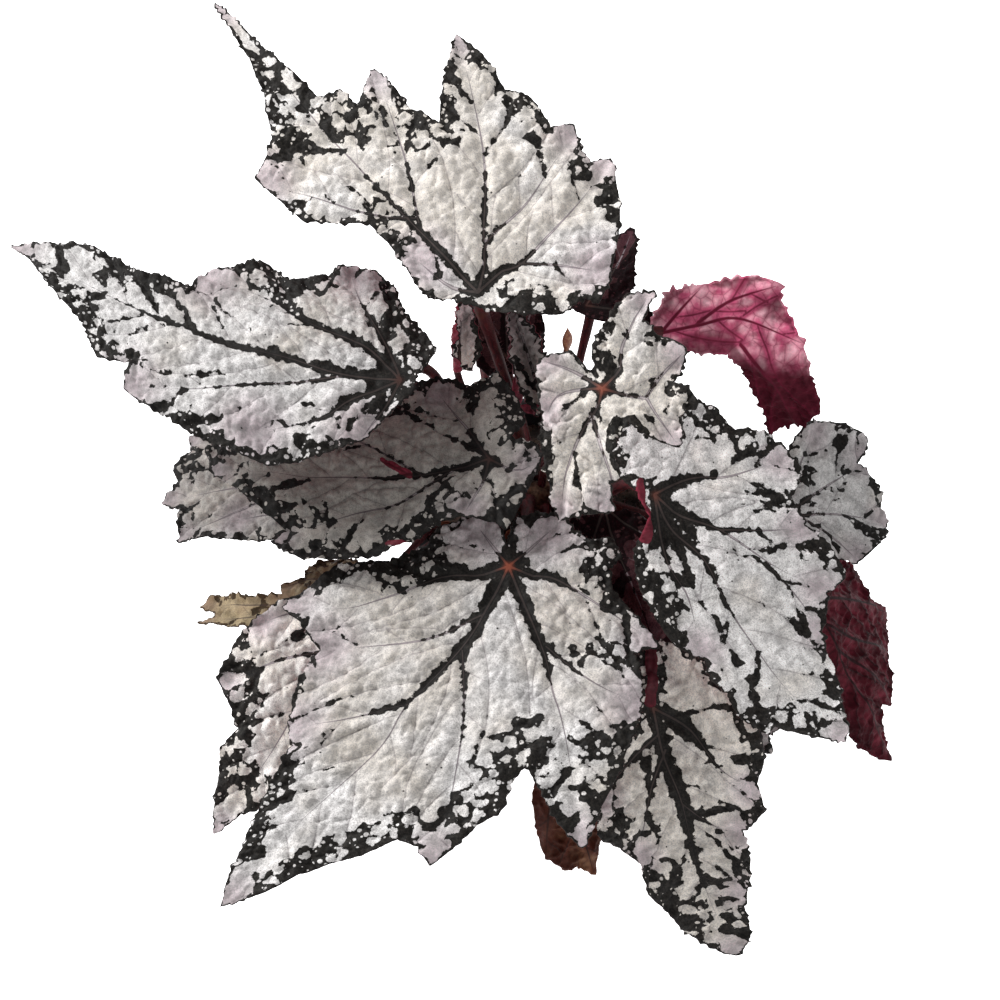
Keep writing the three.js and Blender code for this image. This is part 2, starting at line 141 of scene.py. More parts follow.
def softNoise(points, size, seed):
    # smooth bumps of about one size, from -1 to 1
    table = np.random.default_rng(seed).uniform(-1, 1, (64, 64))
    grid = points / size + 1000
    cell = np.floor(grid).astype(int)
    share = grid - cell
    share = share * share * (3 - 2 * share)
    x, y = (cell % 64).T
    right, top = (x + 1) % 64, (y + 1) % 64
    low = table[x, y] * (1 - share[:, 0]) + table[right, y] * share[:, 0]
    high = table[x, top] * (1 - share[:, 0]) + table[right, top] * share[:, 0]
    return low * (1 - share[:, 1]) + high * share[:, 1]


def drift(points, size, height, seed):
    # a soft sideways shift for each point
    return height * np.stack([softNoise(points, size, seed), softNoise(points, size, seed + 1)], 1)


def cellNet(points, size, seed):
    # a net of uneven cells: distance to the nearest seam, a random number for each cell, and
    # distance to the cell's middle
    table = np.random.default_rng(seed).random((64, 64, 3))
    grid = points / size + 1000
    cell = np.floor(grid).astype(int)
    nearest = np.full(len(points), 9.0)
    second = np.full(len(points), 9.0)
    luck = np.zeros(len(points))
    for step in [(i, j) for i in (-1, 0, 1) for j in (-1, 0, 1)]:
        corner = cell + step
        pick = table[corner[:, 0] % 64, corner[:, 1] % 64]
        gap = np.linalg.norm(grid - corner - pick[:, :2], axis=1)
        second = np.minimum(second, np.maximum(nearest, gap))
        luck = np.where(gap < nearest, pick[:, 2], luck)
        nearest = np.minimum(nearest, gap)
    return 0.6 * size * (second - nearest), luck, size * nearest


def segmentsOf(lines):
    starts = np.vstack([line[:-1] for line in lines])
    ends = np.vstack([line[1:] for line in lines])
    owners = np.repeat(np.arange(len(lines)), [len(line) - 1 for line in lines])
    return starts, ends - starts, owners


def segmentGaps(points, starts, alongs):
    # distances from every point to every segment
    away = points[:, None] - starts[None]
    share = np.einsum("ijk,jk->ij", away, alongs) / np.maximum((alongs ** 2).sum(1), 1e-9)
    return np.linalg.norm(away - np.clip(share, 0, 1)[..., None] * alongs, axis=2)


def nearLines(points, lines, tile=6.0):
    # distance to the nearest line, and which line that is, worked out tile by tile
    starts, alongs, owners = segmentsOf(lines)
    best = np.zeros(len(points))
    which = np.zeros(len(points), int)
    cells = np.floor(points / tile).astype(int)
    keys = cells[:, 0] * 4096 + cells[:, 1]
    order = np.argsort(keys, kind="stable")
    for group in np.split(order, np.flatnonzero(np.diff(keys[order])) + 1):
        centre = (cells[group[0]] + 0.5) * tile
        rough = segmentGaps(centre[None], starts, alongs)[0]
        near = np.flatnonzero(rough < rough.min() + 1.5 * tile)
        gaps = segmentGaps(points[group], starts[near], alongs[near])
        pick = gaps.argmin(1)
        best[group] = gaps[np.arange(len(group)), pick]
        which[group] = owners[near[pick]]
    return best, which


def insideOutline(points, outline):
    inside = np.zeros(len(points), bool)
    after = np.roll(outline, -1, axis=0)
    for band in np.array_split(np.argsort(points[:, 1]), max(1, len(points) // 300)):
        x, y = points[band, 0][:, None], points[band, 1][:, None]
        near = (np.minimum(outline[:, 1], after[:, 1]) <= y.max()) & (outline[:, 1] != after[:, 1])
        near &= np.maximum(outline[:, 1], after[:, 1]) >= y.min()
        (x0, y0), (x1, y1) = outline[near].T, after[near].T
        crossing = ((y0 > y) != (y1 > y)) & (x < (x1 - x0) * (y - y0) / (y1 - y0) + x0)
        inside[band] = crossing.sum(1) % 2 == 1
    return inside


def smoothLine(points, step):
    # a rounded line through the points, with a point every step
    ends = np.vstack([2 * points[0] - points[1], points, 2 * points[-1] - points[-2]])
    dense = []
    for a, b, c, d in zip(ends, ends[1:], ends[2:], ends[3:]):
        for t in np.linspace(0, 1, 12, endpoint=False):
            dense.append(0.5 * (2 * b + (c - a) * t + (2 * a - 5 * b + 4 * c - d) * t ** 2
                                + (3 * b - a - 3 * c + d) * t ** 3))
    dense = np.array(dense + [points[-1]])
    run = np.r_[0, np.cumsum(np.linalg.norm(np.diff(dense, axis=0), axis=1))]
    places = np.linspace(0, run[-1], max(2, round(run[-1] / step)) + 1)
    return np.stack([np.interp(places, run, dense[:, i]) for i in range(dense.shape[1])], 1)


# What a leaf has where its own entry says nothing, in millimetres or as a share
plainLeaf = {
    "skin": "silver",
    "silver": 0,       # added to the width of every silver patch
    "band": 4.6,       # half the dark band along a main vein
    "bandReach": 0.5,  # share of the vein that has the band
    "zone": 15,        # depth of the spotted margin
    "island": 7.0,     # size of the silver islands in it
    "cracks": 0.5,     # share of the side veins with a dark wedge
    "wedgeDepth": 26,
    "tipReach": 20,    # how far a lobe's tip is plain silver and lilac
    "teeth": 1.7,      # height of the margin's teeth
    "ruffle": 2.4,     # height of the waves along the margin
    "pucker": 1,       # share of the usual puckers
    "heat": 0.1,       # red at the vein junction
    "warm": 0.5,       # 0 is cool grey, 1 is cream
    "paintedShading": 1.0,        # brightness: painted light above 1, painted shade below 1
    "folds": [],       # (start, end, half width, brightness) of each folded red lobe; the brightness is painted light and shade
}

# joint: where the stalk meets the blade. heading: compass direction of the main vein,
# counter-clockwise from +X. pitch: its rise. roll: turn about it, positive lifts the left side.
# sweep: sideways curve of the main vein at 100 mm. bends: (direction, start, length, degrees), each
# curling the blade down. outline and veins: (along, across) from the joint, across to the left.
# stalk: at is the place along the rhizome, lean from the vertical, side its compass direction,
# by, lift or tuck shape its upper part. The rest is the finish of the blade, as in plainLeaf.
leaves = {
    "upper_back": {
        "joint": (-28, 22, 248), "heading": 131, "pitch": 14, "roll": -14, "sweep": -1.2,
        "bends": [(0, 20, 200, 20), (90, 10, 100, 14), (-90, 10, 100, 14)],
        "stalk": {"at": -5, "lean": 48, "side": 98, "radius": 4, "by": (-26, 46, 192)},
        "band": 3.2, "bandReach": 0.42, "zone": 19, "tipReach": 30, "warm": 0.6, "paintedShading": 1.32,
        "cracks": 0.3, "heat": 0,
        "outline": [
            (-10, 1), (-21, -7), (-32, -22), (-34, -35), (-40, -38), (-35, -48), (-14, -73),
            (-4, -81), (15, -93), (19, -84), (26, -84), (39, -91), (44, -80), (63, -84), (74, -77),
            (97, -81), (115, -80), (90, -51), (78, -40), (95, -35), (111, -36), (125, -36),
            (113, -16), (127, -16), (131, -5), (156, -3), (184, -1), (217, 1), (196, 4), (173, 7),
            (150, 13), (127, 25), (120, 34), (116, 44), (91, 41), (80, 40), (66, 24), (59, 17),
            (46, 16), (34, 17), (20, 19), (12, 18), (5, 10)],
        "veins": [
            [(0, 0), (35, 1), (78, 3), (144, 3), (212, 0)],
            [(45, -1), (74, -16), (124, -36)],
            [(18, -18), (54, -47), (115, -80)],
            [(0, 0), (9, -11), (17, -20), (22, -50), (37, -91)],
            [(0, 0), (2, -15), (-1, -27), (6, -67), (15, -92)],
            [(0, -24), (-14, -38), (-27, -50)],
            [(0, 0), (12, 8), (29, 11)],
            [(47, -2), (64, 14), (112, 43)]],
    },
    "left": {
        "joint": (-64, -3, 215), "heading": 166, "pitch": 6, "roll": -4, "sweep": -10.3,
        "bends": [(0, 10, 220, 28), (90, 10, 60, 22), (-90, 10, 60, 12)],
        "stalk": {"at": -26, "lean": 50, "side": 116, "radius": 3.6, "by": (-54, 50, 186)},
        "band": 4.0, "bandReach": 0.75, "cracks": 0.85, "wedgeDepth": 34, "zone": 17, "tipReach": 36,
        "warm": 0.42,
        "outline": [
            (-6, -5), (-8, -11), (-11, -20), (-3, -31), (9, -37), (22, -56), (41, -58), (50, -48),
            (68, -39), (80, -45), (91, -39), (109, -27), (113, -16), (141, -15), (171, -24),
            (193, -20), (226, -12), (209, -4), (179, 16), (159, 25), (144, 41), (126, 36),
            (126, 51), (112, 55), (97, 56), (87, 59), (65, 59), (45, 60), (23, 47), (9, 35),
            (2, 20), (-4, 10), (-7, 4)],
        "veins": [
            [(0, 0), (29, 5), (53, 5), (83, 7), (140, 5), (187, -3), (224, -12)],
            [(0, 0), (18, -12), (40, -16), (55, -18), (72, -23), (107, -25)],
            [(0, 0), (10, -15), (31, -38), (41, -56)],
            [(27, 6), (62, 23), (98, 40), (125, 51)],
            [(0, 0), (19, 17), (30, 31), (59, 49)],
            [(0, 0), (3, 15), (9, 33)]],
    },
    "mid_left": {
        "joint": (-23, -24, 182), "heading": 182, "pitch": -4, "roll": -4, "sweep": -9.8,
        "bends": [(0, 10, 140, 22), (90, 8, 60, 8), (-90, 8, 60, 8)],
        "stalk": {"at": -14, "lean": 35, "side": 245, "radius": 3.4, "tuck": 0.3},
        "band": 3.2, "cracks": 0.7, "zone": 18, "warm": 1.0, "paintedShading": 0.56,
        "folds": [((51, -3), (38, 6), 2.2, 0.9), ((41, 44), (48, 44), 2.5, 1.4)],
        "outline": [
            (-10, -10), (-17, -17), (-15, -32), (-5, -50), (8, -43), (22, -48), (39, -44),
            (62, -42), (82, -28), (108, -27), (130, -18), (144, -15), (140, 0), (124, 11),
            (111, 22), (99, 34), (106, 41), (92, 49), (72, 50), (42, 45), (24, 32), (14, 30),
            (-2, 34), (-6, 38), (-12, 29), (-17, 18), (-25, 1), (-23, -6), (-13, -8)],
        "veins": [
            [(0, 0), (17, 3), (38, 6), (72, 5), (139, 0)],
            [(17, 3), (43, 20), (67, 26), (104, 38)],
            [(0, 0), (4, 13), (12, 27)],
            [(0, 0), (9, -17), (23, -39)],
            [(0, 0), (-12, 7), (-19, 5)],
            [(33, 5), (62, -14), (92, -23)]],
    },
    "low_left": {
        "joint": (-103, -1, 125), "heading": 174, "pitch": -6, "roll": 0, "sweep": 0,
        "bends": [(0, 5, 100, 25), (90, 5, 50, 15), (-90, 5, 50, 15)],
        "stalk": {"at": -31, "lean": 58, "side": 172, "radius": 2.6, "lift": 4},
        "band": 3.0, "zone": 14, "warm": 0.6, "paintedShading": 0.62,
        "outline": [
            (-9, -6), (-2, -22), (28, -40), (64, -52), (90, -52), (84, -36), (92, -25), (85, -12),
            (93, 0), (79, 8), (78, 27), (60, 26), (32, 30), (11, 27), (-6, 21), (-9, 6)],
        "veins": [
            [(0, 0), (26, -1), (59, -2), (92, 0)],
            [(0, 0), (34, -13), (87, -46)],
            [(15, 1), (46, 11), (78, 25)],
            [(0, 0), (18, 13), (46, 16)]],
    },
    "old_left": {
        "joint": (-93, -41, 98), "heading": 167, "pitch": -16, "roll": 0, "sweep": 0,
        "bends": [(0, 5, 90, 25), (90, 5, 50, 25), (-90, 5, 50, 25)],
        "stalk": {"at": -31, "lean": 34, "side": 222, "radius": 2.6, "lift": -7, "tuck": 0.95},
        "skin": "aged", "band": 1.5, "zone": 6,
        "outline": [
            (-5, -3), (-5, -12), (11, -18), (28, -13), (27, -5), (40, -1), (37, 5), (57, 5),
            (84, -1), (96, 2), (79, 11), (92, 15), (52, 24), (20, 31), (-4, 21), (-5, 9)],
        "veins": [
            [(-1, 4), (26, 9), (56, 9), (93, 2)],
            [(-1, 4), (17, -4), (38, 0)],
            [(14, 8), (47, 17), (90, 14)]],
    },
    "front": {
        "joint": (-14, -70, 160), "heading": -122, "pitch": -10, "roll": 0, "sweep": -10.1,
        "bends": [(0, 20, 190, 24), (90, 10, 90, 12), (-90, 10, 90, 14)],
        "stalk": {"at": -5, "lean": 50, "side": 268, "radius": 4},
        "band": 5.6, "bandReach": 0.45, "zone": 22, "cracks": 0.65, "wedgeDepth": 22, "tipReach": 32,
        "warm": 0.52, "heat": 0.85,
        "outline": [
            (-7, -5), (-17, -15), (-15, -27), (-1, -39), (9, -41), (24, -51), (38, -71), (51, -76),
            (67, -82), (70, -67), (77, -52), (94, -50), (115, -40), (122, -30), (148, -23),
            (177, -12), (202, 0), (185, 13), (171, 18), (160, 25), (148, 34), (135, 41), (133, 51),
            (138, 61), (112, 64), (101, 68), (89, 63), (77, 62), (84, 76), (93, 93), (96, 107),
            (76, 101), (48, 94), (27, 88), (14, 78), (7, 71), (-3, 80), (-7, 67), (-14, 48),
            (-22, 41), (-31, 43), (-36, 33), (-30, 26), (-31, 17), (-35, 9), (-32, -2), (-22, -10)],
        "veins": [
            [(0, 0), (19, 2), (44, 4), (80, 1), (103, 4), (150, 0), (201, 0)],
            [(46, 5), (72, 25), (104, 44), (137, 61)],
            [(0, 0), (10, 13), (29, 38), (42, 51), (55, 66), (96, 106)],
            [(25, 36), (29, 63), (27, 87)],
            [(0, 0), (-2, 11), (-6, 24), (-4, 60), (-3, 80)],
            [(0, 0), (10, -10), (21, -25), (53, -53), (66, -82)],
            [(0, 0), (-10, -22)],
            [(0, 0), (-26, 7)],
            [(27, 2), (51, -14), (77, -52)],
            [(80, 1), (102, -20), (116, -38)]],
    },
    "front_left": {
        "joint": (-86, -58, 112), "heading": -122, "pitch": -17, "roll": -8, "sweep": -3.8,
        "bends": [(0, 10, 120, 25), (90, 8, 60, 20), (-90, 8, 60, 20)],
        "stalk": {"at": -21, "lean": 56, "side": 240, "radius": 3, "lift": -6, "tuck": 0.95},
        "band": 2.5, "zone": 20, "cracks": 0.6, "warm": 0.5, "paintedShading": 1.3,
        "outline": [
            (-7, -10), (4, -22), (20, -33), (33, -40), (47, -44), (57, -42), (69, -40), (74, -30),
            (84, -19), (98, -21), (111, -14), (136, 0), (120, 6), (113, 12), (99, 28), (77, 25),
            (65, 35), (34, 41), (5, 31), (-8, 15), (-9, 2)],
        "veins": [
            [(0, 0), (29, 0), (68, 2), (103, 2), (134, 2)],
            [(29, 0), (45, -18), (69, -38)],
            [(0, 0), (12, -16), (33, -37)],
            [(0, 0), (23, 19), (64, 34)]],
    },
    "right": {
        "joint": (53, -50, 190), "heading": -54, "pitch": -21, "roll": 4, "sweep": 11.5,
        "bends": [(0, 15, 130, 26), (90, 10, 70, 12), (-90, 10, 70, 14)],
        "stalk": {"at": 27, "lean": 45, "side": 300, "radius": 3.8},
        "band": 4.6, "cracks": 0.85, "wedgeDepth": 32, "zone": 17, "warm": 0.35, "paintedShading": 1.22, "heat": 0.2,
        "folds": [((-8, -3), (2, -8), 2.2, 1.1), ((4, -9), (15, -16), 3.8, 1.0)],
        "outline": [
            (-5, -6), (8, -9), (18, -24), (33, -32), (46, -34), (63, -36), (76, -29), (87, -33),
            (95, -31), (107, -35), (122, -30), (122, -24), (133, -16), (148, -3), (137, 5),
            (122, 13), (96, 26), (81, 39), (79, 53), (65, 56), (49, 53), (34, 55), (27, 70),
            (14, 70), (3, 66), (-6, 53), (-21, 50), (-33, 39), (-37, 21), (-40, 7),
            (-36, -2), (-24, -7), (-14, -8)],
        "veins": [
            [(0, 0), (16, -2), (35, 1), (53, -2), (72, -5), (111, -8), (145, -3)],
            [(0, 0), (14, 5), (30, 16), (53, 25), (78, 38)],
            [(0, 0), (1, 14), (4, 24), (11, 36), (17, 63)],
            [(0, 0), (29, -13), (49, -16), (71, -27)],
            [(53, 25), (78, 27), (95, 25)],
            [(30, 16), (40, 32), (49, 50)]],
    },
    "front_right": {
        "joint": (53, -126, 126), "heading": -69, "pitch": -33, "roll": 0, "sweep": 9.3,
        "bends": [(0, 10, 120, 24), (90, 2, 12, -18), (-90, 2, 12, -18), (90, 25, 40, 22),
                  (-90, 25, 40, 22)],
        "stalk": {"at": 12, "lean": 62, "side": 285, "radius": 3.6, "lift": 14},
        "band": 6.4, "bandReach": 0.75, "cracks": 0.95, "wedgeDepth": 32, "zone": 22, "warm": 0.7, "paintedShading": 1.2,
        "folds": [((-25, 7), (-3, 0), 3.2, 0.5)],
        "outline": [
            (-7, -6), (0, -18), (15, -32), (30, -43), (47, -46), (56, -38), (67, -31), (83, -32),
            (95, -25), (111, -20), (122, -15), (130, -9), (121, -2), (106, 2), (84, 15), (69, 18),
            (63, 31), (49, 33), (39, 40), (23, 43), (3, 38), (-13, 31), (-22, 24),
            (-29, 11), (-29, 1)],
        "veins": [
            [(0, 0), (25, -2), (47, -2), (84, -6), (129, -9)],
            [(21, 0), (40, -16), (65, -30)],
            [(13, -1), (23, -24), (31, -40)],
            [(47, -2), (65, 9), (70, 19)],
            [(0, 0), (15, 13), (37, 20), (51, 31)],
            [(84, -6), (96, 2), (99, 7)]],
    },
    "young": {
        "joint": (27, -39, 255), "heading": -119, "pitch": -32, "roll": 0, "sweep": 20.3,
        "bends": [(0, 5, 60, 20), (90, 5, 40, 14), (-90, 5, 40, 14)],
        "stalk": {"at": 13, "lean": 5, "side": 300, "radius": 3.4},
        "band": 2.6, "bandReach": 0.45, "zone": 10, "island": 4.4, "cracks": 0.4, "ruffle": 4.8,
        "warm": 0.7, "paintedShading": 1.26, "heat": 0.45, "pucker": 1.9, "teeth": 2.6,
        "outline": [
            (-5, -5), (-5, -10), (-10, -20), (-1, -32), (9, -27), (23, -21), (46, -10), (60, -2),
            (53, 8), (48, 21), (37, 17), (33, 20), (23, 15), (17, 14), (8, 17), (11, 27), (10, 41),
            (3, 40), (-3, 36), (-11, 41), (-15, 35), (-15, 27), (-21, 28), (-31, 26), (-31, 12),
            (-34, 5), (-48, 4), (-42, -6), (-30, -9), (-16, -12)],
        "veins": [
            [(0, 0), (8, 1), (18, -1), (40, -4), (58, -2)],
            [(12, -1), (21, 7), (35, 17), (47, 19)],
            [(0, 0), (4, -9), (10, -17), (19, -20)],
            [(0, 0), (-2, -15), (-1, -30)],
            [(0, 0), (-11, 3), (-21, 0), (-45, 2)],
            [(0, 0), (-2, 13), (-4, 19), (0, 25), (9, 40)],
            [(-4, 19), (-16, 21), (-29, 26)]],
    },
    "turned": {
        "joint": (58, 28, 212), "heading": -7, "pitch": -2, "roll": -143, "sweep": 0,
        "bends": [(0, 10, 60, 10), (90, 2, 12, -52)],
        "stalk": {"at": 23, "lean": 50, "side": 70, "radius": 3.2},
        "skin": "crimson", "teeth": 3.4,
        "outline": [
            (-5, -5), (2, -20), (20, -26), (30, -29), (40, -32), (52, -30), (54, -22), (59, -15),
            (70, 4), (72, 11), (81, 31), (73, 44), (59, 53), (54, 38), (40, 12), (33, 6), (16, 8),
            (-4, 5)],
        "veins": [
            [(0, 0), (18, -6), (36, -11), (66, -3)],
            [(17, -7), (31, -19), (51, -28)],
            [(0, 0), (8, -12), (16, -23)],
            [(38, 1), (55, 16), (69, 41)]],
    },
    "far_right": {
        "joint": (119, -34, 150), "heading": 14, "pitch": -17, "roll": 4, "sweep": 0,
        "bends": [(0, 5, 60, 22), (90, 36, 8, -35), (-90, 8, 40, 14)],
        "stalk": {"at": 31, "lean": 45, "side": 35, "radius": 3, "lift": 14},
        "band": 2.4, "cracks": 0.8, "zone": 15, "warm": 0.4, "paintedShading": 0.74,
        "outline": [
            (-5, -4), (-2, -14), (12, -21), (33, -26), (43, -20), (59, -7), (65, 1), (66, 16),
            (62, 29), (56, 34), (68, 44), (48, 51), (24, 52), (15, 38), (1, 20), (-6, 4)],
        "veins": [
            [(0, 0), (27, 2), (62, 1)],
            [(0, 0), (25, 15), (61, 35)],
            [(0, 0), (17, 27), (32, 47)],
            [(9, 1), (24, -11), (36, -23)]],
    },
    "hanging_right": {
        "joint": (131, -62, 118), "heading": -37, "pitch": -45, "roll": 165, "sweep": 0,
        "bends": [(0, 5, 80, -12), (90, 8, 30, -20), (-90, 8, 30, -16)],
        "stalk": {"at": 31, "lean": 80, "side": -24, "radius": 3, "by": (114, -68, 148)},
        "skin": "crimsonShaded", "paintedShading": 0.85,
        "outline": [
            (-7, -4), (-5, -21), (14, -53), (31, -61), (43, -55), (64, -71), (73, -57), (86, -18),
            (76, -9), (93, -4), (106, 2), (78, 22), (57, 24), (33, 29), (8, 20), (-5, 5)],
        "veins": [
            [(-1, 1), (30, 3), (62, 5), (103, 2)],
            [(-1, 1), (26, -31), (62, -67)],
            [(14, 2), (39, -15), (71, -46)],
            [(30, 3), (55, -10), (82, -17)]],
    },
    "dark_back": {
        "joint": (26, 68, 186), "heading": 61, "pitch": 23, "roll": -20, "sweep": 0,
        "bends": [(0, 5, 60, 20)],
        "stalk": {"at": 13, "lean": 62, "side": 85, "radius": 3},
        "skin": "shadePainted", "silver": -1.5,
        "outline": [
            (-7, -10), (-3, -33), (-5, -45), (-9, -66), (-4, -61), (-1, -44), (7, -32), (9, -22),
            (28, -13), (41, -6), (47, 3), (36, 7), (28, 16), (16, 28), (2, 23), (-5, 6)],
        "veins": [
            [(-1, 1), (24, -3), (45, 1)],
            [(-1, 1), (1, -25), (-7, -61)]],
    },
    "inner": {
        "joint": (32, -31, 152), "heading": -72, "pitch": -6, "roll": 0, "sweep": 0,
        "bends": [(0, 5, 80, 10)],
        "stalk": {"at": 21, "lean": 14, "side": 270, "radius": 2.4},
        "skin": "shadePainted", "silver": -1.6,
        "outline": [
            (-6, -3), (-7, -13), (4, -21), (18, -19), (30, -25), (41, -18), (52, -17), (58, -10),
            (72, -2), (79, 6), (76, 14), (60, 17), (52, 20), (40, 17), (28, 24), (14, 20), (7, 14),
            (3, 4), (-6, 1)],
        "veins": [
            [(0, 0), (30, -1), (66, 0)],
            [(0, 0), (16, -12), (28, -22)],
            [(0, 0), (16, 12), (27, 21)]],
    },
    "low_right": {
        "joint": (74, -102, 100), "heading": -6, "pitch": -29, "roll": 0, "sweep": 0,
        "bends": [(0, 5, 50, 20)],
        "stalk": {"at": 19, "lean": 66, "side": 290, "radius": 2.8, "lift": -1, "tuck": 0.95},
        "band": 2.5, "paintedShading": 0.7,
        "outline": [
            (-6, -5), (1, -16), (16, -24), (26, -21), (35, -27), (40, -17), (53, -13), (51, -3),
            (59, 4), (57, 13), (69, 25), (55, 28), (51, 34), (36, 29), (22, 29), (4, 15), (-6, 5)],
        "veins": [
            [(-1, 0), (24, -2), (57, 1)],
            [(-1, 0), (18, -20)],
            [(-1, 0), (29, 23)]],
    },
    "hanging_front": {
        "joint": (14, -130, 82), "heading": -70, "pitch": -38, "roll": 175, "sweep": 0,
        "bends": [(0, 5, 50, -15), (90, 5, 20, -25), (-90, 5, 20, -25)],
        "stalk": {"at": 4, "lean": 82, "side": 272, "radius": 2.8, "lift": 58},
        "skin": "aged", "paintedShading": 1.1,
        "outline": [
            (-5, -5), (10, -13), (25, -14), (49, -5), (61, -1), (53, 8), (53, 14), (45, 21),
            (37, 24), (13, 21), (5, 17), (-6, 4)],
        "veins": [
            [(0, 0), (25, 3), (59, 0)],
            [(0, 0), (16, 13), (40, 22)]],
    },
    "low_back": {
        "joint": (-50, 156, 150), "heading": 126, "pitch": 5, "roll": 0, "sweep": 0,
        "bends": [(0, 10, 110, 30), (90, 8, 50, 25), (-90, 8, 50, 25)],
        "stalk": {"at": -13, "lean": 75, "side": 104, "radius": 3.2, "lift": 2},
        "outline": [
            (-8, -2), (-21, -10), (-25, -28), (-11, -47), (10, -48), (26, -65), (32, -51),
            (47, -50), (41, -40), (62, -39), (64, -18), (82, -17), (91, -4), (119, -4), (164, 3),
            (121, 17), (107, 35), (80, 31), (64, 37), (45, 28), (26, 28), (2, 21), (-5, 5)],
        "veins": [
            [(0, 0), (57, 7), (155, 3)],
            [(0, 0), (24, -17), (58, -36)],
            [(0, 0), (10, -27), (23, -60)],
            [(0, 0), (28, 20), (65, 35)]],
    },
    "shaded": {
        "joint": (-14, 62, 150), "heading": 95, "pitch": 62, "roll": 0, "sweep": 0,
        "bends": [(0, 5, 60, 12)],
        "stalk": {"at": 1, "lean": 66, "side": 96, "radius": 2.2},
        "skin": "shadePainted", "silver": -1.4,
        "outline": [
            (-6, -3), (-10, -11), (2, -17), (16, -19), (30, -16), (38, -18), (48, -9), (62, 0),
            (49, 8), (40, 17), (28, 17), (14, 19), (0, 16), (-9, 10), (-6, 3)],
        "veins": [
            [(0, 0), (30, 0), (60, 0)],
            [(0, 0), (18, 10), (38, 15)],
            [(0, 0), (18, -10), (36, -16)]],
    },
    "furled_left": {
        "joint": (-38, 38, 178), "heading": 86, "pitch": 58, "roll": 25, "sweep": 0,
        "bends": [(0, 5, 40, -10), (90, 1, 4, -68), (-90, 1, 4, -68)],
        "stalk": {"at": -18, "lean": 44, "side": 95, "radius": 2.2},
        "band": 1.0, "zone": 7, "warm": 0.9, "paintedShading": 1.7, "tipReach": 90, "pucker": 1.7, "cracks": 0.8,
        "outline": [
            (-4, -2), (-2, -11), (9, -15), (25, -14), (47, -7), (54, 0), (47, 7), (25, 14), (9, 15),
            (-2, 11), (-4, 2)],
        "veins": [
            [(0, 0), (25, 0), (52, 0)]],
    },
    "furled_right": {
        "joint": (3, 27, 160), "heading": 117, "pitch": 50, "roll": -20, "sweep": 0,
        "bends": [(0, 5, 60, -10), (90, 1, 5, -62), (-90, 1, 5, -62)],
        "stalk": {"at": 3, "lean": 8, "side": 40, "radius": 2.2},
        "band": 1.2, "zone": 9, "warm": 0.9, "paintedShading": 0.7, "tipReach": 90, "pucker": 1.7, "cracks": 0.8,
        "outline": [
            (-5, -3), (-2, -14), (11, -19), (33, -19), (59, -8), (70, 0), (59, 8), (31, 18),
            (10, 17), (-2, 13), (-5, 3)],
        "veins": [
            [(0, 0), (33, 0), (68, 0)]],
    },
}
leaves = {name: {**plainLeaf, **leaf} for name, leaf in leaves.items()}

bladeBuild = {
    "thickness": 0.8,     # mm
    "rimBulge": 0.25,     # how far the rounded edge stands out
    "spacing": 1.0,       # between points on a big blade
    "smallSpacing": 0.8,  # on a blade under smallReach long
    "smallReach": 70,
    "marginStep": 0.75,   # between points round the margin
    "toothPitch": 3.6,    # from tooth to tooth
    "lobeBulge": 0.015,   # of the length between two corners of the outline
    "jitter": 0.12,       # of the spacing
    "veinRows": [0, 0.7, -0.7, 1.5, -1.5],
    "veinClear": 1.5,     # from a main vein to the nearest loose point
    "fineStep": 0.9,      # between points along a main vein
    "coarseStep": 4,      # the same vein, as distances are measured from it
    "branchFirst": (6, 10),
    "branchPitch": (8, 13),
    "branchAngle": (36, 54),
    "branchTurn": (-2, 5),
    "branchStep": 3,
    "branchReach": 70,
    "branchGap": 1.9,     # a side vein ends this near to another vein
}


def toothedMargin(leaf, rng):
    build = bladeBuild
    corners = np.array(leaf["outline"], float)
    turn = np.roll(corners, -1, axis=0)
    area = np.sum(corners[:, 0] * turn[:, 1] - corners[:, 1] * turn[:, 0])
    margin = []
    for start, end in zip(corners, turn):
        along = end - start
        length = np.linalg.norm(along)
        outward = np.array([along[1], -along[0]]) / length * np.sign(area)
        teeth = max(1, round(length / build["toothPitch"] * rng.uniform(0.6, 1.3)))
        heights = leaf["teeth"] * rng.uniform(0, 1, teeth) ** 2
        peaks = rng.uniform(0.25, 0.75, teeth)
        steps = max(4, round(length / build["marginStep"]))
        for t in np.arange(steps) / steps:
            tooth, phase = divmod(t * teeth, 1)
            peak = peaks[int(tooth)]
            rise = heights[int(tooth)] * (phase / peak if phase < peak else (1 - phase) / (1 - peak))
            arch = build["lobeBulge"] * length * 4 * t * (1 - t)
            margin.append(start + t * along + (rise + arch) * outward)
    margin = np.array(margin)
    return margin if area > 0 else margin[::-1]


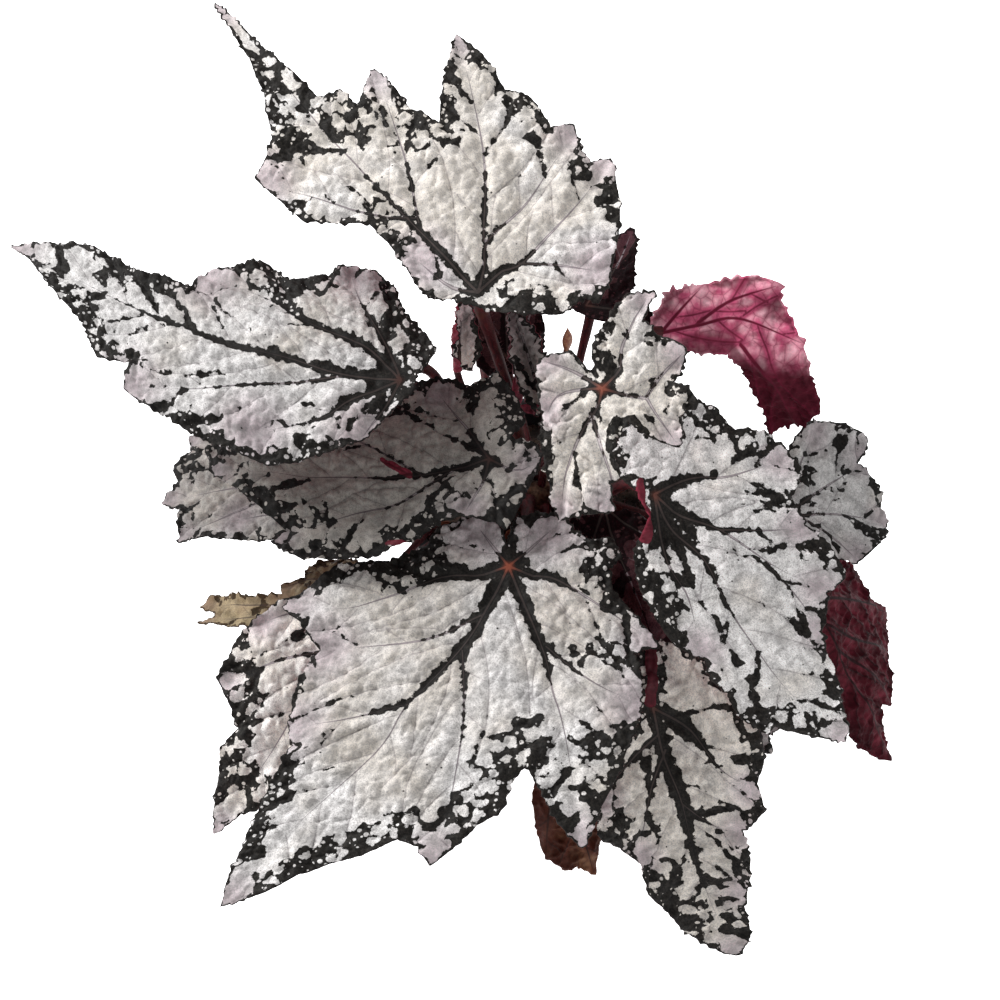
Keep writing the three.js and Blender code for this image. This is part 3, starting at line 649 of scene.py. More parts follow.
def branchVeins(outline, mains, rng):
    # fine side veins leave each main vein by turns and run until they meet something
    build = bladeBuild
    branches = []
    starts, alongs, owners = segmentsOf(mains)
    seen = np.full((1, 2), 999.0)
    for number, main in enumerate(mains):
        other = owners != number
        side = 1
        place = rng.uniform(*build["branchFirst"])
        run = np.r_[0, np.cumsum(np.linalg.norm(np.diff(main, axis=0), axis=1))]
        while place < run[-1] - 4:
            tip = np.array([np.interp(place, run, main[:, i]) for i in (0, 1)])
            ahead = np.array([np.interp(place + 4, run, main[:, i]) for i in (0, 1)])
            angle = np.arctan2(*(ahead - tip)[::-1])
            angle += side * radians(rng.uniform(*build["branchAngle"]))
            line = [tip]
            while len(line) * build["branchStep"] < build["branchReach"]:
                angle -= side * radians(rng.uniform(*build["branchTurn"]))
                tip = tip + build["branchStep"] * np.array([cos(angle), sin(angle)])
                if not insideOutline(tip[None], outline)[0]:
                    break
                line.append(tip)
                met = segmentGaps(tip[None], starts[other], alongs[other]).min() if other.any() else 99
                met = min(met, np.linalg.norm(seen - tip, axis=1).min())
                if len(line) > 2 and met < build["branchGap"]:
                    break
            if len(line) > 2:
                branches.append(np.array(line))
                seen = np.vstack([seen, line])
            side = -side
            place += rng.uniform(*build["branchPitch"])
    return branches


def bladeAxes(leaf):
    h, p, r = (radians(leaf[key]) for key in ("heading", "pitch", "roll"))
    along = Vector((cos(h) * cos(p), sin(h) * cos(p), sin(p)))
    level = Vector((-sin(h), cos(h), 0))
    across = cos(r) * level + sin(r) * along.cross(level)
    return along, across, along.cross(across)


def bladePlaces(leaf, flat, lift):
    # sweeps and curls flat points, then puts them where the leaf is, in millimetres
    u, v = flat.T.copy()
    w = np.array(lift, float)
    v += leaf["sweep"] * (np.maximum(u, 0) / 100) ** 2
    for direction, start, length, degrees in leaf["bends"]:
        ex, ey = cos(radians(direction)), sin(radians(direction))
        reach = u * ex + v * ey
        turn = radians(degrees) * np.clip((reach - start) / length, 0, 1)
        arc = length / radians(degrees)
        extra = np.maximum(0, reach - start - length)
        radius = arc + w
        moved = reach > start
        shift = start + radius * np.sin(turn) + extra * np.cos(turn) - reach
        u += np.where(moved, ex * shift, 0)
        v += np.where(moved, ey * shift, 0)
        w = np.where(moved, -arc + radius * np.cos(turn) - extra * np.sin(turn), w)
    axes = np.array(bladeAxes(leaf))
    return np.array(leaf["joint"]) + np.stack([u, v, w], 1) @ axes


def bladePoints(margin, mains, branches, spacing, rng):
    # points on the veins first, then a jittered grid that keeps clear of them
    build = bladeBuild
    rows = []
    for line in mains:
        direction = np.gradient(line, axis=0)
        direction /= np.linalg.norm(direction, axis=1)[:, None]
        sideways = np.stack([-direction[:, 1], direction[:, 0]], 1)
        for offset in build["veinRows"]:
            rows.append(line + offset * sideways)
    rows += [smoothLine(line, spacing) for line in branches]
    onVeins = np.vstack(rows)
    cells = np.floor(onVeins / (0.62 * spacing)).astype(int)
    _, first = np.unique(cells, axis=0, return_index=True)
    onVeins = onVeins[np.sort(first)]
    low, high = margin.min(0), margin.max(0)
    x, y = np.meshgrid(np.arange(low[0], high[0], spacing),
                       np.arange(low[1], high[1], spacing * sqrt(3) / 2))
    x[1::2] += spacing / 2
    grid = np.stack([x.ravel(), y.ravel()], 1)
    grid += rng.uniform(-build["jitter"], build["jitter"], grid.shape) * spacing
    clear = nearLines(grid, mains)[0] > build["veinClear"] + 0.5 * spacing
    clear &= nearLines(grid, branches)[0] > 0.5 * spacing if branches else True
    points = np.vstack([onVeins, grid[clear]])
    points = points[insideOutline(points, margin)]
    return points[nearLines(points, [np.vstack([margin, margin[:1]])])[0] > 0.45 * spacing]


patternBuild = {
    "branchStart": 6,         # a main vein that starts farther out leaves another vein
    "thinBand": 0.45,         # share of the dark band on such a vein
    "bandWave": 9,            # length of the waves in the band's width
    "bandLoss": 1.6,          # how far the band goes below nothing at its end
    "wedgeSize": (1.5, 6.0),
    "wedgeDepth": (0.5, 1.5),  # of the leaf's own wedgeDepth
    "wedgeWave": 6,
    "wander": (7, 2.0),       # length and height of the waves in a wedge's course
    "warp": (5, 1.4),         # the same in the net of islands
    "zoneWave": 20,
    "islandLoss": 2.7,        # off an island's radius at the very edge
    "missing": 0.55,          # share of the islands missing there
    "rim": 0.6,               # dark line along the edge
    "bulge": (3.6, 1.7, 1.3),  # spacing, half width and height of the scallops
    "ripple": (7, 0.5),
}
reliefBuild = {
    "valley": (1.9, 4.0),      # depth and width of the dip along a main vein
    "ridge": (0.45, 0.6),      # height and width of the vein in it
    "sideGroove": (0.55, 1.1),
    "sideValley": (1.2, 3),
    "bigPucker": (8.5, 1.7, 3.0, 0.75),     # size, height, shoulder and its power
    "smallPucker": (3.8, 0.75, 1.1, 0.9),
    "warp": (6, 1.2),
    "wave": (22, 2.0),         # size and height of the slow waves
    "ruffle": (11, 8),         # size, and depth from the margin
    "fold": 2.2,
    "calm": 4,                 # puckers start this far from a main vein
    "flatRadius": 12,          # and everything this far from the joint
}


def bladePattern(leaf, flat, margin, mains, branches, seed):
    # distances in millimetres that the relief and the colours are worked out from
    build = patternBuild
    rng = np.random.default_rng(seed)
    main, number = nearLines(flat, mains)
    side, sideNumber = nearLines(flat, branches) if branches else (main + 9, number)
    edge, _ = nearLines(flat, [np.vstack([margin, margin[:1]])])
    away = np.linalg.norm(flat, axis=1)
    tips = np.array([line[-1] for line in mains])
    tipGap = np.min([np.linalg.norm(flat - tip, axis=1) for tip in tips], axis=0)
    tip = np.clip(1 - tipGap / leaf["tipReach"], 0, 1)
    # the dark band narrows along each main vein, and is thin on one that leaves another vein
    starts = np.array([np.linalg.norm(line[0]) for line in mains])
    ends = np.array([np.linalg.norm(line, axis=1).max() for line in mains])
    share = (away - starts[number]) / (leaf["bandReach"] * (ends - starts))[number]
    band = leaf["band"] * np.where(starts > build["branchStart"], build["thinBand"], 1)[number]
    wave = 0.9 + 0.35 * softNoise(flat, build["bandWave"], seed + 3)
    band = band * np.clip(1 - share, 0, 1) ** 0.7 * wave
    band -= build["bandLoss"] * np.clip((share - 0.85) / 0.3, 0, 1)
    # dark wedges run in from the margin along some of the side veins
    wedges = max(1, len(branches))
    size = rng.uniform(*build["wedgeSize"], wedges) * (rng.random(wedges) < leaf["cracks"])
    depth = rng.uniform(*build["wedgeDepth"], wedges) * leaf["wedgeDepth"]
    wedge = size[sideNumber] * np.clip(1 - edge / depth[sideNumber], 0, 1)
    wedge *= np.clip(0.75 + 1.2 * softNoise(flat, build["wedgeWave"], seed + 14), 0, 1.7)
    wander = drift(flat, *build["wander"], seed + 15)
    course = nearLines(flat + wander, branches)[0] if branches else side
    # the margin breaks up into round silver islands, smaller and fewer towards the edge
    warp = drift(flat, *build["warp"], seed + 8)
    island = leaf["island"]
    _, luck, middle = cellNet(flat + warp, island, seed + 10)
    zone = leaf["zone"] * np.clip(0.85 + 0.8 * softNoise(flat, build["zoneWave"], seed), 0.25, 1.7)
    zone *= (1 - 0.85 * tip) * np.clip((main + edge) / 15, 0.15, 1)
    outer = np.clip(1 - edge / np.maximum(zone, 0.1), 0, 1)
    radius = island * (0.56 + 0.18 * luck) - build["islandLoss"] * outer ** 0.7
    radius += 3 * np.clip(1 - 6 * outer, 0, 1)
    blob = np.where(luck < build["missing"] * outer ** 2, -1.5, radius - middle)
    silver = np.minimum(main - band, np.where(outer > 0, blob, 9))
    silver = np.minimum(silver, np.where(wedge > 0.05, course - wedge * (1 - tip), 9))
    silver = np.minimum(silver, edge - build["rim"] * (1 - tip)) + leaf["silver"]
    # every edge of the silver is scalloped by small round bulges
    pitch, reach, rise = build["bulge"]
    bulge = cellNet(flat + 0.6 * warp, pitch, seed + 12)[2]
    length, height = build["ripple"]
    silver += rise * np.clip(1 - bulge / reach, -1, 1) + height * softNoise(flat, length, seed + 1)
    spotty = np.clip(outer * 2, 0, 1) * np.clip(edge / 1.0, 0, 1)
    spotty *= np.clip((main - 0.3 * band) / 2, 0, 1)
    # the drawn vein gets thinner along its length and is gone at its end
    run = (away - starts[number]) / (ends - starts)[number]
    line = main + 0.8 * np.clip(run, 0, 1) ** 2.5
    return {"main": main, "side": side, "edge": edge, "away": away, "silver": silver,
            "spotty": spotty, "tip": tip, "line": line}


def bladeRelief(leaf, flat, pattern, seed):
    build = reliefBuild
    warp = drift(flat, *build["warp"], seed + 5)
    size = np.clip(1.15 - pattern["away"] / (pattern["away"].max() + 20), 0.25, 1)
    calm = np.clip(pattern["main"] / build["calm"], 0, 1)
    depth, width = build["valley"]
    lift = -depth * size * np.exp(-(pattern["main"] / width) ** 2)
    height, width = build["ridge"]
    lift += height * size * np.exp(-(pattern["main"] / width) ** 2)
    (sharp, narrow), (soft, wide) = build["sideGroove"], build["sideValley"]
    groove = sharp * np.exp(-(pattern["side"] / narrow) ** 2) + soft * np.exp(-pattern["side"] / wide)
    lift -= groove * calm
    puckers = 0
    for (cell, height, shoulder, power), shift, turn in (
            (build["bigPucker"], 1.8, 2), (build["smallPucker"], 1, 3)):
        net = cellNet(flat + shift * warp, cell, seed + turn)[0]
        puckers = puckers + height * np.minimum(net / shoulder, 1) ** power
    lift += leaf["pucker"] * puckers * calm
    length, height = build["wave"]
    lift += height * softNoise(flat, length, seed + 4)
    for fold in leaf["folds"]:
        lift += build["fold"] * foldShare(fold, flat)
    length, depth = build["ruffle"]
    lift += leaf["ruffle"] * softNoise(flat, length, seed + 7) * np.exp(-pattern["edge"] / depth)
    return lift * np.clip(pattern["away"] / build["flatRadius"], 0, 1) ** 1.5


def foldShare(fold, flat):
    # 1 on a small lobe that is folded over and shows its red lower face, 0 off it
    start, end, width, _ = fold
    gap = nearLines(flat, [np.array([start, end], float)])[0]
    return np.clip(width - gap + 0.8 * softNoise(flat, 3, 6), 0, 1)


def makeBlade(name, leaf, seed, material):
    rng = np.random.default_rng(seed)
    build = bladeBuild
    margin = toothedMargin(leaf, rng)
    long = np.ptp(margin, axis=0).max() > build["smallReach"]
    spacing = build["spacing"] if long else build["smallSpacing"]
    mains = [smoothLine(np.array(line, float), build["fineStep"]) for line in leaf["veins"]]
    coarse = [smoothLine(np.array(line, float), build["coarseStep"]) for line in leaf["veins"]]
    branches = branchVeins(np.array(leaf["outline"], float), coarse, rng)
    inner = bladePoints(margin, mains, branches, spacing, rng)
    everything = np.vstack([margin, inner])
    count = len(margin)
    edges = [(i, (i + 1) % count) for i in range(count)]
    found = delaunay_2d_cdt([Vector(p) for p in everything], edges, [], 0, 1e-5, False)
    flat = np.array([tuple(p) for p in found[0]])
    faces = np.array(found[2])
    faces = faces[insideOutline(flat[faces].mean(1), margin)]
    pattern = bladePattern(leaf, flat, margin, coarse, branches, seed)
    relief = bladeRelief(leaf, flat, pattern, seed)
    half = build["thickness"] / 2
    top = bladePlaces(leaf, flat, relief + half)
    bottom = bladePlaces(leaf, flat, relief - half)
    # boundary edges, which belong to one face only, get a rounded rim
    turned = np.vstack([faces[:, [0, 1]], faces[:, [1, 2]], faces[:, [2, 0]]])
    keys = {tuple(pair) for pair in turned.tolist()}
    rimEdges = [pair for pair in turned.tolist() if (pair[1], pair[0]) not in keys]
    after = dict(rimEdges)
    before = {b: a for a, b in rimEdges}
    rimIndex = {corner: k for k, corner in enumerate(after)}
    rimFlat = []
    for corner in after:
        along = flat[after[corner]] - flat[before[corner]]
        outward = np.array([along[1], -along[0]]) / max(np.linalg.norm(along), 1e-6)
        rimFlat.append(flat[corner] + build["rimBulge"] * outward)
    corners = np.array(list(after))
    rim = bladePlaces(leaf, np.array(rimFlat), relief[corners])
    total = len(flat)
    allFaces = faces.tolist() + (faces[:, ::-1] + total).tolist()
    for a, b in rimEdges:
        ra, rb = 2 * total + rimIndex[a], 2 * total + rimIndex[b]
        allFaces += [(b, a, ra, rb), (rb, ra, a + total, b + total)]
    points = np.vstack([top, bottom, rim]) * mm
    piece = newPiece(f"{name}_leaf", points, allFaces, material)
    under = np.r_[np.zeros(total), np.ones(total), np.full(len(rim), 0.4)]
    pick = np.r_[np.arange(total), np.arange(total), corners]
    # painted light and shade: each leaf's own brightness, and each folded lobe's, for how light falls on it
    paintedShading = np.full(len(pick), leaf["paintedShading"])
    for fold in leaf["folds"]:
        near = foldShare(fold, flat)[pick]
        under = np.maximum(under, near)
        paintedShading += (fold[3] - paintedShading) * (near > 0.5)
    values = {
        "flat": (flat[pick, 0], flat[pick, 1], np.full(len(pick), float(seed))),
        "pattern": (pattern["silver"][pick], pattern["spotty"][pick], pattern["tip"][pick]),
        "veins": (pattern["line"][pick], pattern["side"][pick], pattern["away"][pick]),
        "tone": (under, np.full(len(pick), leaf["warm"]), paintedShading),
    }
    for key, columns in values.items():
        setVectors(piece, key, np.stack(columns, 1))
    glow = piece.data.attributes.new("redness", "FLOAT", "POINT").data
    glow.foreach_set("value", np.full(len(pick), leaf["heat"], np.float32))
    lower = [any(total <= corner < 2 * total for corner in face) for face in allFaces]
    addBakeMap(piece, flat[pick], lower)
    rims.append((piece, 2 * len(rimEdges)))
    return piece


def addBakeMap(piece, flat, lower):
    # the upper face on the left of the map, the lower face on the right
    low = flat.min(0)
    spot = 0.01 + 0.98 * (flat - low) / np.ptp(flat, axis=0).max()
    mesh = piece.data
    corners = np.zeros(len(mesh.loops), int)
    mesh.loops.foreach_get("vertex_index", corners)
    sizes = np.zeros(len(mesh.polygons), int)
    mesh.polygons.foreach_get("loop_total", sizes)
    u = 0.5 * spot[corners, 0] + 0.5 * np.repeat(lower, sizes)
    places = np.stack([u, spot[corners, 1]], 1)
    mesh.uv_layers.new(name="OFBake").uv.foreach_set("vector", places.astype(np.float32).ravel())


# Leaf skins. flat is the place on the flat leaf in millimetres, pattern holds the silver field, the spotted
# margin and the lobe tips, veins the distances to the veins, tone the side, the hue and the painted shading.
markSizes = {  # millimetres
    "torn": 1.4, "fray": 0.5,        # the two frays of the silver's edge
    "dot": 2.6, "hole": 7,           # silver dots in the dark, dark holes in the silver
    "speck": 0.65, "pore": 1.1, "mottle": 5, "cloud": 34, "tinge": 18, "glint": 1.1,
    "cell": 6, "blushAndHighlight": 11,          # net, and pale patches of the lower face that are partly its own colour and partly painted highlights
    "shade": 9,
}
silverSkin = {
    "light": (0.84, 0.82, 0.81, 1), "grey": (0.34, 0.325, 0.32, 1), "cream": (0.66, 0.61, 0.55, 1),
    "lilac": (0.50, 0.41, 0.44, 1), "dark": (0.006, 0.005, 0.0045, 1), "darkGlint": (0.030, 0.026, 0.022, 1),
    "veinHot": (0.36, 0.085, 0.045, 1), "veinWarm": (0.045, 0.034, 0.031, 1),
    "veinCool": (0.16, 0.13, 0.145, 1), "veinDark": (0.006, 0.005, 0.005, 1),
    "veinPale": (0.45, 0.40, 0.41, 1),
    "under": (0.19, 0.018, 0.036, 1), "underPale": (0.27, 0.03, 0.055, 1),
    "underDeep": (0.09, 0.010, 0.018, 1), "underVein": (0.07, 0.006, 0.012, 1), "underShadeSpan": (0, 40),
    "gloss": 0.2,
}
agedSkin = {
    "light": (0.33, 0.27, 0.16, 1), "grey": (0.20, 0.15, 0.09, 1), "cream": (0.40, 0.31, 0.19, 1),
    "lilac": (0.25, 0.15, 0.10, 1), "dark": (0.05, 0.035, 0.018, 1), "darkGlint": (0.09, 0.05, 0.025, 1),
    "veinHot": (0.14, 0.05, 0.03, 1), "veinWarm": (0.09, 0.045, 0.03, 1), "veinCool": (0.07, 0.05, 0.04, 1),
    "veinDark": (0.03, 0.02, 0.015, 1), "veinPale": (0.22, 0.16, 0.10, 1),
    "under": (0.10, 0.026, 0.012, 1), "underPale": (0.20, 0.10, 0.05, 1),
    "underDeep": (0.05, 0.012, 0.008, 1), "underVein": (0.035, 0.012, 0.008, 1), "underShadeSpan": (0, 30),
    "gloss": 0.15,
}


def leafMaterial(name, colours):
    material, tree, shader = newMaterial(name)
    flat = attribute(tree, "flat")
    silver, spotty, tip = parts(tree, attribute(tree, "pattern"))
    main, side, away = parts(tree, attribute(tree, "veins"))
    under, warm, paintedShading = parts(tree, attribute(tree, "tone"))
    torn = scaled(tree, grain(tree, flat, markSizes["torn"], 3, 0.6), 1.8, -0.9)
    fray = scaled(tree, grain(tree, flat, markSizes["fray"], 2, 0.6), 1.2, -0.6)
    field = sums(tree, "ADD", sums(tree, "ADD", silver, torn), fray)
    patch = between(tree, field, -0.1, 0.12)
    # round spots in the margin, each cell with a size of its own
    dots = spots(tree, flat, markSizes["dot"])
    size = scaled(tree, parts(tree, dots.outputs["Color"])[0], 0.62, -0.16)
    size = sums(tree, "ADD", size, scaled(tree, fray, 0.16))
    inside = sums(tree, "SUBTRACT", size, dots.outputs["Distance"])
    spot = sums(tree, "MULTIPLY", between(tree, inside, -0.02, 0.04), between(tree, spotty, 0.35, 0.6))
    holes = spots(tree, flat, markSizes["hole"])
    hole = between(tree, holes.outputs["Distance"], 0.05, 0.08, 1, 0)
    chosen = between(tree, parts(tree, holes.outputs["Color"])[1], 0.6, 0.62)
    hole = sums(tree, "MULTIPLY", hole, chosen)
    bright = sums(tree, "MAXIMUM", patch, spot)
    bright = sums(tree, "MULTIPLY", bright, sums(tree, "SUBTRACT", 1.0, hole))
    # silver: cool or cream in wide soft clouds, lilac at the tips, with grey pores all over
    speck = grain(tree, flat, markSizes["speck"], 3, 0.8)
    pores = spots(tree, flat, markSizes["pore"])
    pore = between(tree, pores.outputs["Distance"], 0.12, 0.5, 0.5, 0)
    cloud = grain(tree, flat, markSizes["cloud"], 2, 0.5)
    hue = between(tree, sums(tree, "ADD", cloud, sums(tree, "SUBTRACT", warm, 0.5)), 0.4, 0.72)
    colour = blend(tree, hue, colours["light"], colours["cream"])
    tinge = between(tree, grain(tree, flat, markSizes["tinge"], 2, 0.5), 0.6, 0.85, 0, 0.12)
    lilac = sums(tree, "ADD", between(tree, tip, 0.15, 0.9, 0, 0.85), tinge)
    colour = blend(tree, lilac, colour, colours["lilac"])
    mottle = between(tree, grain(tree, flat, markSizes["mottle"], 4, 0.6), 0.45, 0.75, 0.0, 0.55)
    for greyness in (mottle, between(tree, speck, 0.46, 0.62, 0.0, 0.72), pore):
        colour = blend(tree, greyness, colour, colours["grey"])
    # painted glints: small lighter flecks in the dark, for light caught on its fine hairs
    glint = between(tree, grain(tree, flat, markSizes["glint"], 4, 0.8), 0.4, 0.7)
    dark = blend(tree, glint, colours["dark"], colours["darkGlint"])
    skin = blend(tree, bright, dark, colour)
    # each vein is a paler ridge between two dark lines, red near the stalk; the ridge's paleness is partly a
    # painted highlight
    redness = scalar(tree, "redness")
    heat = sums(tree, "MULTIPLY", between(tree, away, 0, 8, 0.75, 0), redness)
    line = blend(tree, patch, colours["veinDark"], colours["veinCool"])
    ridge = blend(tree, patch, colours["veinWarm"], colours["veinPale"])
    ridge = blend(tree, heat, ridge, colours["veinHot"])
    width = between(tree, away, 0, 90, 0.95, 0.5)
    inner = sums(tree, "SUBTRACT", main, width)
    line = blend(tree, between(tree, inner, -0.5, -0.3, 1, 0), line, ridge)
    skin = blend(tree, between(tree, inner, -0.2, 0.15, 0.9, 0), skin, line)
    fine = sums(tree, "MULTIPLY", between(tree, side, 0.1, 0.5, 0.4, 0), patch)
    skin = blend(tree, fine, skin, colours["veinCool"])
    hub = sums(tree, "MULTIPLY", between(tree, away, 1, 4, 0.5, 0), between(tree, main, 0.5, 3, 1, 0))
    skin = blend(tree, sums(tree, "MULTIPLY", hub, redness), skin, colours["veinHot"])
    # lower face: a net with pale middles, partly its own colour and partly painted highlights, a deep edge
    # under the dark band, and painted shade across the far half
    net = spots(tree, flat, markSizes["cell"])
    net.feature = "DISTANCE_TO_EDGE"
    cell = net.outputs["Distance"]
    # the pale patches are partly the face's own colour and partly painted highlights on the bulging cells
    blushAndHighlight = between(tree, grain(tree, flat, markSizes["blushAndHighlight"], 4, 0.6), 0.34, 0.62)
    pale = sums(tree, "MULTIPLY", between(tree, side, 0.8, 4), blushAndHighlight)
    pale = sums(tree, "MULTIPLY", pale, between(tree, cell, 0.02, 0.3, 0.55, 1))
    lower = blend(tree, pale, colours["under"], colours["underPale"])
    lower = blend(tree, between(tree, spotty, 0.3, 1, 0, 0.6), lower, colours["underDeep"])
    # painted shade: the lower face deepens across its far half
    across = parts(tree, flat)[1]
    lower = blend(tree, between(tree, across, *colours["underShadeSpan"]), lower, colours["underDeep"])
    rib = sums(tree, "MAXIMUM", between(tree, main, 0.5, 1.2, 1, 0), between(tree, side, 0.2, 0.7, 0.8, 0))
    rib = sums(tree, "MAXIMUM", rib, between(tree, cell, 0.0, 0.06, 0.4, 0))
    lower = blend(tree, rib, lower, colours["underVein"])
    skin = blend(tree, between(tree, under, 0.3, 0.6), skin, lower)
    # painted shade and light: soft blotches of shading over the puckers, times the leaf's painted brightness
    shade = between(tree, grain(tree, flat, markSizes["shade"], 5, 0.75), 0.34, 0.66, 0.76, 1.26)
    shade = sums(tree, "MULTIPLY", shade, paintedShading)
    shade = addNode(tree, "ShaderNodeCombineXYZ", {0: shade, 1: shade, 2: shade}).outputs[0]
    skin = blend(tree, 1.0, skin, shade, "MULTIPLY")
    tree.links.new(skin, shader.inputs["Base Color"])
    tree.links.new(between(tree, bright, 0, 1, 0.62, 0.5), shader.inputs["Roughness"])
    shader.inputs["Specular IOR Level"].default_value = colours["gloss"]
    bump(tree, shader, sums(tree, "ADD", speck, sums(tree, "MULTIPLY", bright, 0.5)), 0.0003, 0.7)
    return material


def stalkMaterial():
    colours = {"deep": (0.022, 0.003, 0.005, 1), "red": (0.095, 0.009, 0.012, 1),
               "green": (0.10, 0.035, 0.018, 1), "pore": (0.22, 0.07, 0.06, 1)}
    material, tree, shader = newMaterial("stalkSkin")
    along, around, _ = parts(tree, attribute(tree, "flat"))
    place = addNode(tree, "ShaderNodeTexCoord").outputs["Object"]
    drawnOut = addNode(tree, "ShaderNodeCombineXYZ", {0: sums(tree, "MULTIPLY", along, 0.12), 1: around})
    streak = grain(tree, drawnOut.outputs[0], 0.9, 3, 0.6)
    colour = blend(tree, between(tree, streak, 0.3, 0.7), colours["deep"], colours["red"])
    patch = between(tree, grain(tree, place, 0.012, 2), 0.55, 0.75, 0, 0.4)
    colour = blend(tree, patch, colour, colours["green"])
    lenticels = spots(tree, place, 0.0022)
    pore = between(tree, lenticels.outputs["Distance"], 0.08, 0.2, 0.4, 0)
    colour = blend(tree, pore, colour, colours["pore"])
    tree.links.new(colour, shader.inputs["Base Color"])
    shader.inputs["Roughness"].default_value = 0.6
    shader.inputs["Specular IOR Level"].default_value = 0.25
    bump(tree, shader, streak, 0.0004, 0.7)
    return material


def hairMaterial():
    material, tree, shader = newMaterial("hairSkin")
    place = addNode(tree, "ShaderNodeTexCoord").outputs["Object"]
    colours = {"deep": (0.07, 0.012, 0.016, 1), "pale": (0.18, 0.06, 0.06, 1)}
    colour = blend(tree, grain(tree, place, 0.02, 2), colours["deep"], colours["pale"])
    tree.links.new(colour, shader.inputs["Base Color"])
    shader.inputs["Roughness"].default_value = 0.6
    return material


def potMaterial():
    material, tree, shader = newMaterial("potPlastic")
    place = addNode(tree, "ShaderNodeTexCoord").outputs["Object"]
    fine = grain(tree, place, 0.0011, 2, 0.6)
    dust = grain(tree, place, 0.03, 4, 0.6)
    colours = {"plastic": (0.022, 0.023, 0.025, 1), "dust": (0.075, 0.07, 0.064, 1)}
    colour = blend(tree, between(tree, dust, 0.5, 0.75, 0, 0.5), colours["plastic"], colours["dust"])
    tree.links.new(colour, shader.inputs["Base Color"])
    tree.links.new(between(tree, dust, 0.35, 0.7, 0.38, 0.62), shader.inputs["Roughness"])
    bump(tree, shader, fine, 0.0001, 0.5)
    return material


def earthMaterial(name, deep, pale, size):
    material, tree, shader = newMaterial(name)
    place = addNode(tree, "ShaderNodeTexCoord").outputs["Object"]
    crumbs = grain(tree, place, size, 4, 0.65)
    colour = blend(tree, between(tree, crumbs, 0.35, 0.7), deep, pale)
    tree.links.new(colour, shader.inputs["Base Color"])
    shader.inputs["Roughness"].default_value = 0.9
    bump(tree, shader, crumbs, size * 0.4, 0.8)
    return material


skins = {
    "silver": leafMaterial("silverLeaf", silverSkin),
    # painted shade: the silver skin darkened to maroon black, for leaves deep among the others
    "shadePainted": leafMaterial("shadePaintedLeaf", {
        **silverSkin, "light": (0.07, 0.025, 0.03, 1), "grey": (0.03, 0.009, 0.013, 1),
        "cream": (0.09, 0.04, 0.035, 1), "lilac": (0.08, 0.03, 0.04, 1), "dark": (0.006, 0.0015, 0.002, 1),
        "darkGlint": (0.020, 0.004, 0.007, 1), "under": (0.05, 0.006, 0.012, 1),
        "gloss": 0.08}),
    "crimson": leafMaterial("crimsonLeaf", {
        **silverSkin, "under": (0.52, 0.09, 0.18, 1), "underPale": (0.95, 0.52, 0.60, 1),
        "underDeep": (0.085, 0.010, 0.020, 1), "underVein": (0.13, 0.012, 0.03, 1), "underShadeSpan": (0, 14),
        "gloss": 0.04}),
    # painted shade: the crimson lower face darkened several times over
    "crimsonShaded": leafMaterial("crimsonShadedLeaf", {
        **silverSkin, "under": (0.068, 0.005, 0.011, 1), "underPale": (0.19, 0.025, 0.042, 1),
        "underDeep": (0.04, 0.003, 0.007, 1), "underVein": (0.018, 0.001, 0.003, 1), "underShadeSpan": (0, 30),
        "gloss": 0.06}),
    "aged": leafMaterial("agedLeaf", agedSkin),
}
stalkSkin = stalkMaterial()
hairSkin = hairMaterial()

rims = []
for number, (name, leaf) in enumerate(leaves.items()):
    skin = leaf["skin"]
    blade = makeBlade(name, leaf, 11 + number, skins[skin])
    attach(blade, "root")
    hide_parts(f"blade_{name}")
    print("begonia: leaf", name, len(blade.data.polygons), "faces")


# Rhizome and stalks
rhizome = {"radius": 8, "halfLength": 32, "centre": (0, 4), "slope": 0.12, "height": 112.3,
           "rings": 90, "sides": 40, "knots": 9, "knotWidth": 1.6, "swell": 0.75, "inset": 1.1}
stalkBuild = {"gap": 0.3, "startPull": 0.4, "endPull": 0.28, "tuck": 0.6, "blade": 1.0,
              "sides": 18, "step": 1.6, "rib": 0.05, "flare": 0.12}


def rhizomePoint(at):
    x, y = rhizome["centre"]
    return Vector((x + at, y + rhizome["slope"] * at, rhizome["height"]))


def leaning(lean, side):
    out = sin(radians(lean))
    return Vector((out * cos(radians(side)), out * sin(radians(side)), cos(radians(lean))))


def stalkFoot(at, direction, radius):
    axis = Vector((1, rhizome["slope"], 0)).normalized()
    outward = (direction - direction.dot(axis) * axis).normalized()
    tilt = sqrt(max(0, 1 - direction.dot(outward) ** 2))
    return rhizomePoint(at) + outward * (rhizome["radius"] + stalkBuild["gap"] + radius * tilt)


def bezier(a, b, c, d, count):
    t = np.linspace(0, 1, count)[:, None]
    a, b, c, d = (np.array(p) for p in (a, b, c, d))
    return (1 - t) ** 3 * a + 3 * (1 - t) ** 2 * t * b + 3 * (1 - t) * t * t * c + t ** 3 * d


def stalkPath(leaf):
    stalk = leaf["stalk"]
    along, _, out = bladeAxes(leaf)
    radius = stalk["radius"]
    rising = leaning(stalk["lean"], stalk["side"])
    foot = stalkFoot(stalk["at"], rising, radius)
    tuck = stalk.get("tuck", stalkBuild["tuck"])
    arrival = (tuck * along + (1 - tuck) * out).normalized()
    joint = Vector(leaf["joint"])
    guess = (joint - foot).length
    upper = joint - stalkBuild["endPull"] * guess * arrival + Vector((0, 0, stalk.get("lift", 0)))
    if "by" in stalk:
        upper = Vector(stalk["by"])
    finish = (joint - upper).normalized()
    tilt = sqrt(max(0, 1 - finish.dot(out) ** 2))
    top = joint - out * (stalkBuild["blade"] / 2 + stalkBuild["gap"] + radius * tilt)
    lower = foot + stalkBuild["startPull"] * guess * rising
    return bezier(foot, lower, upper, top, max(12, round(guess / stalkBuild["step"])))


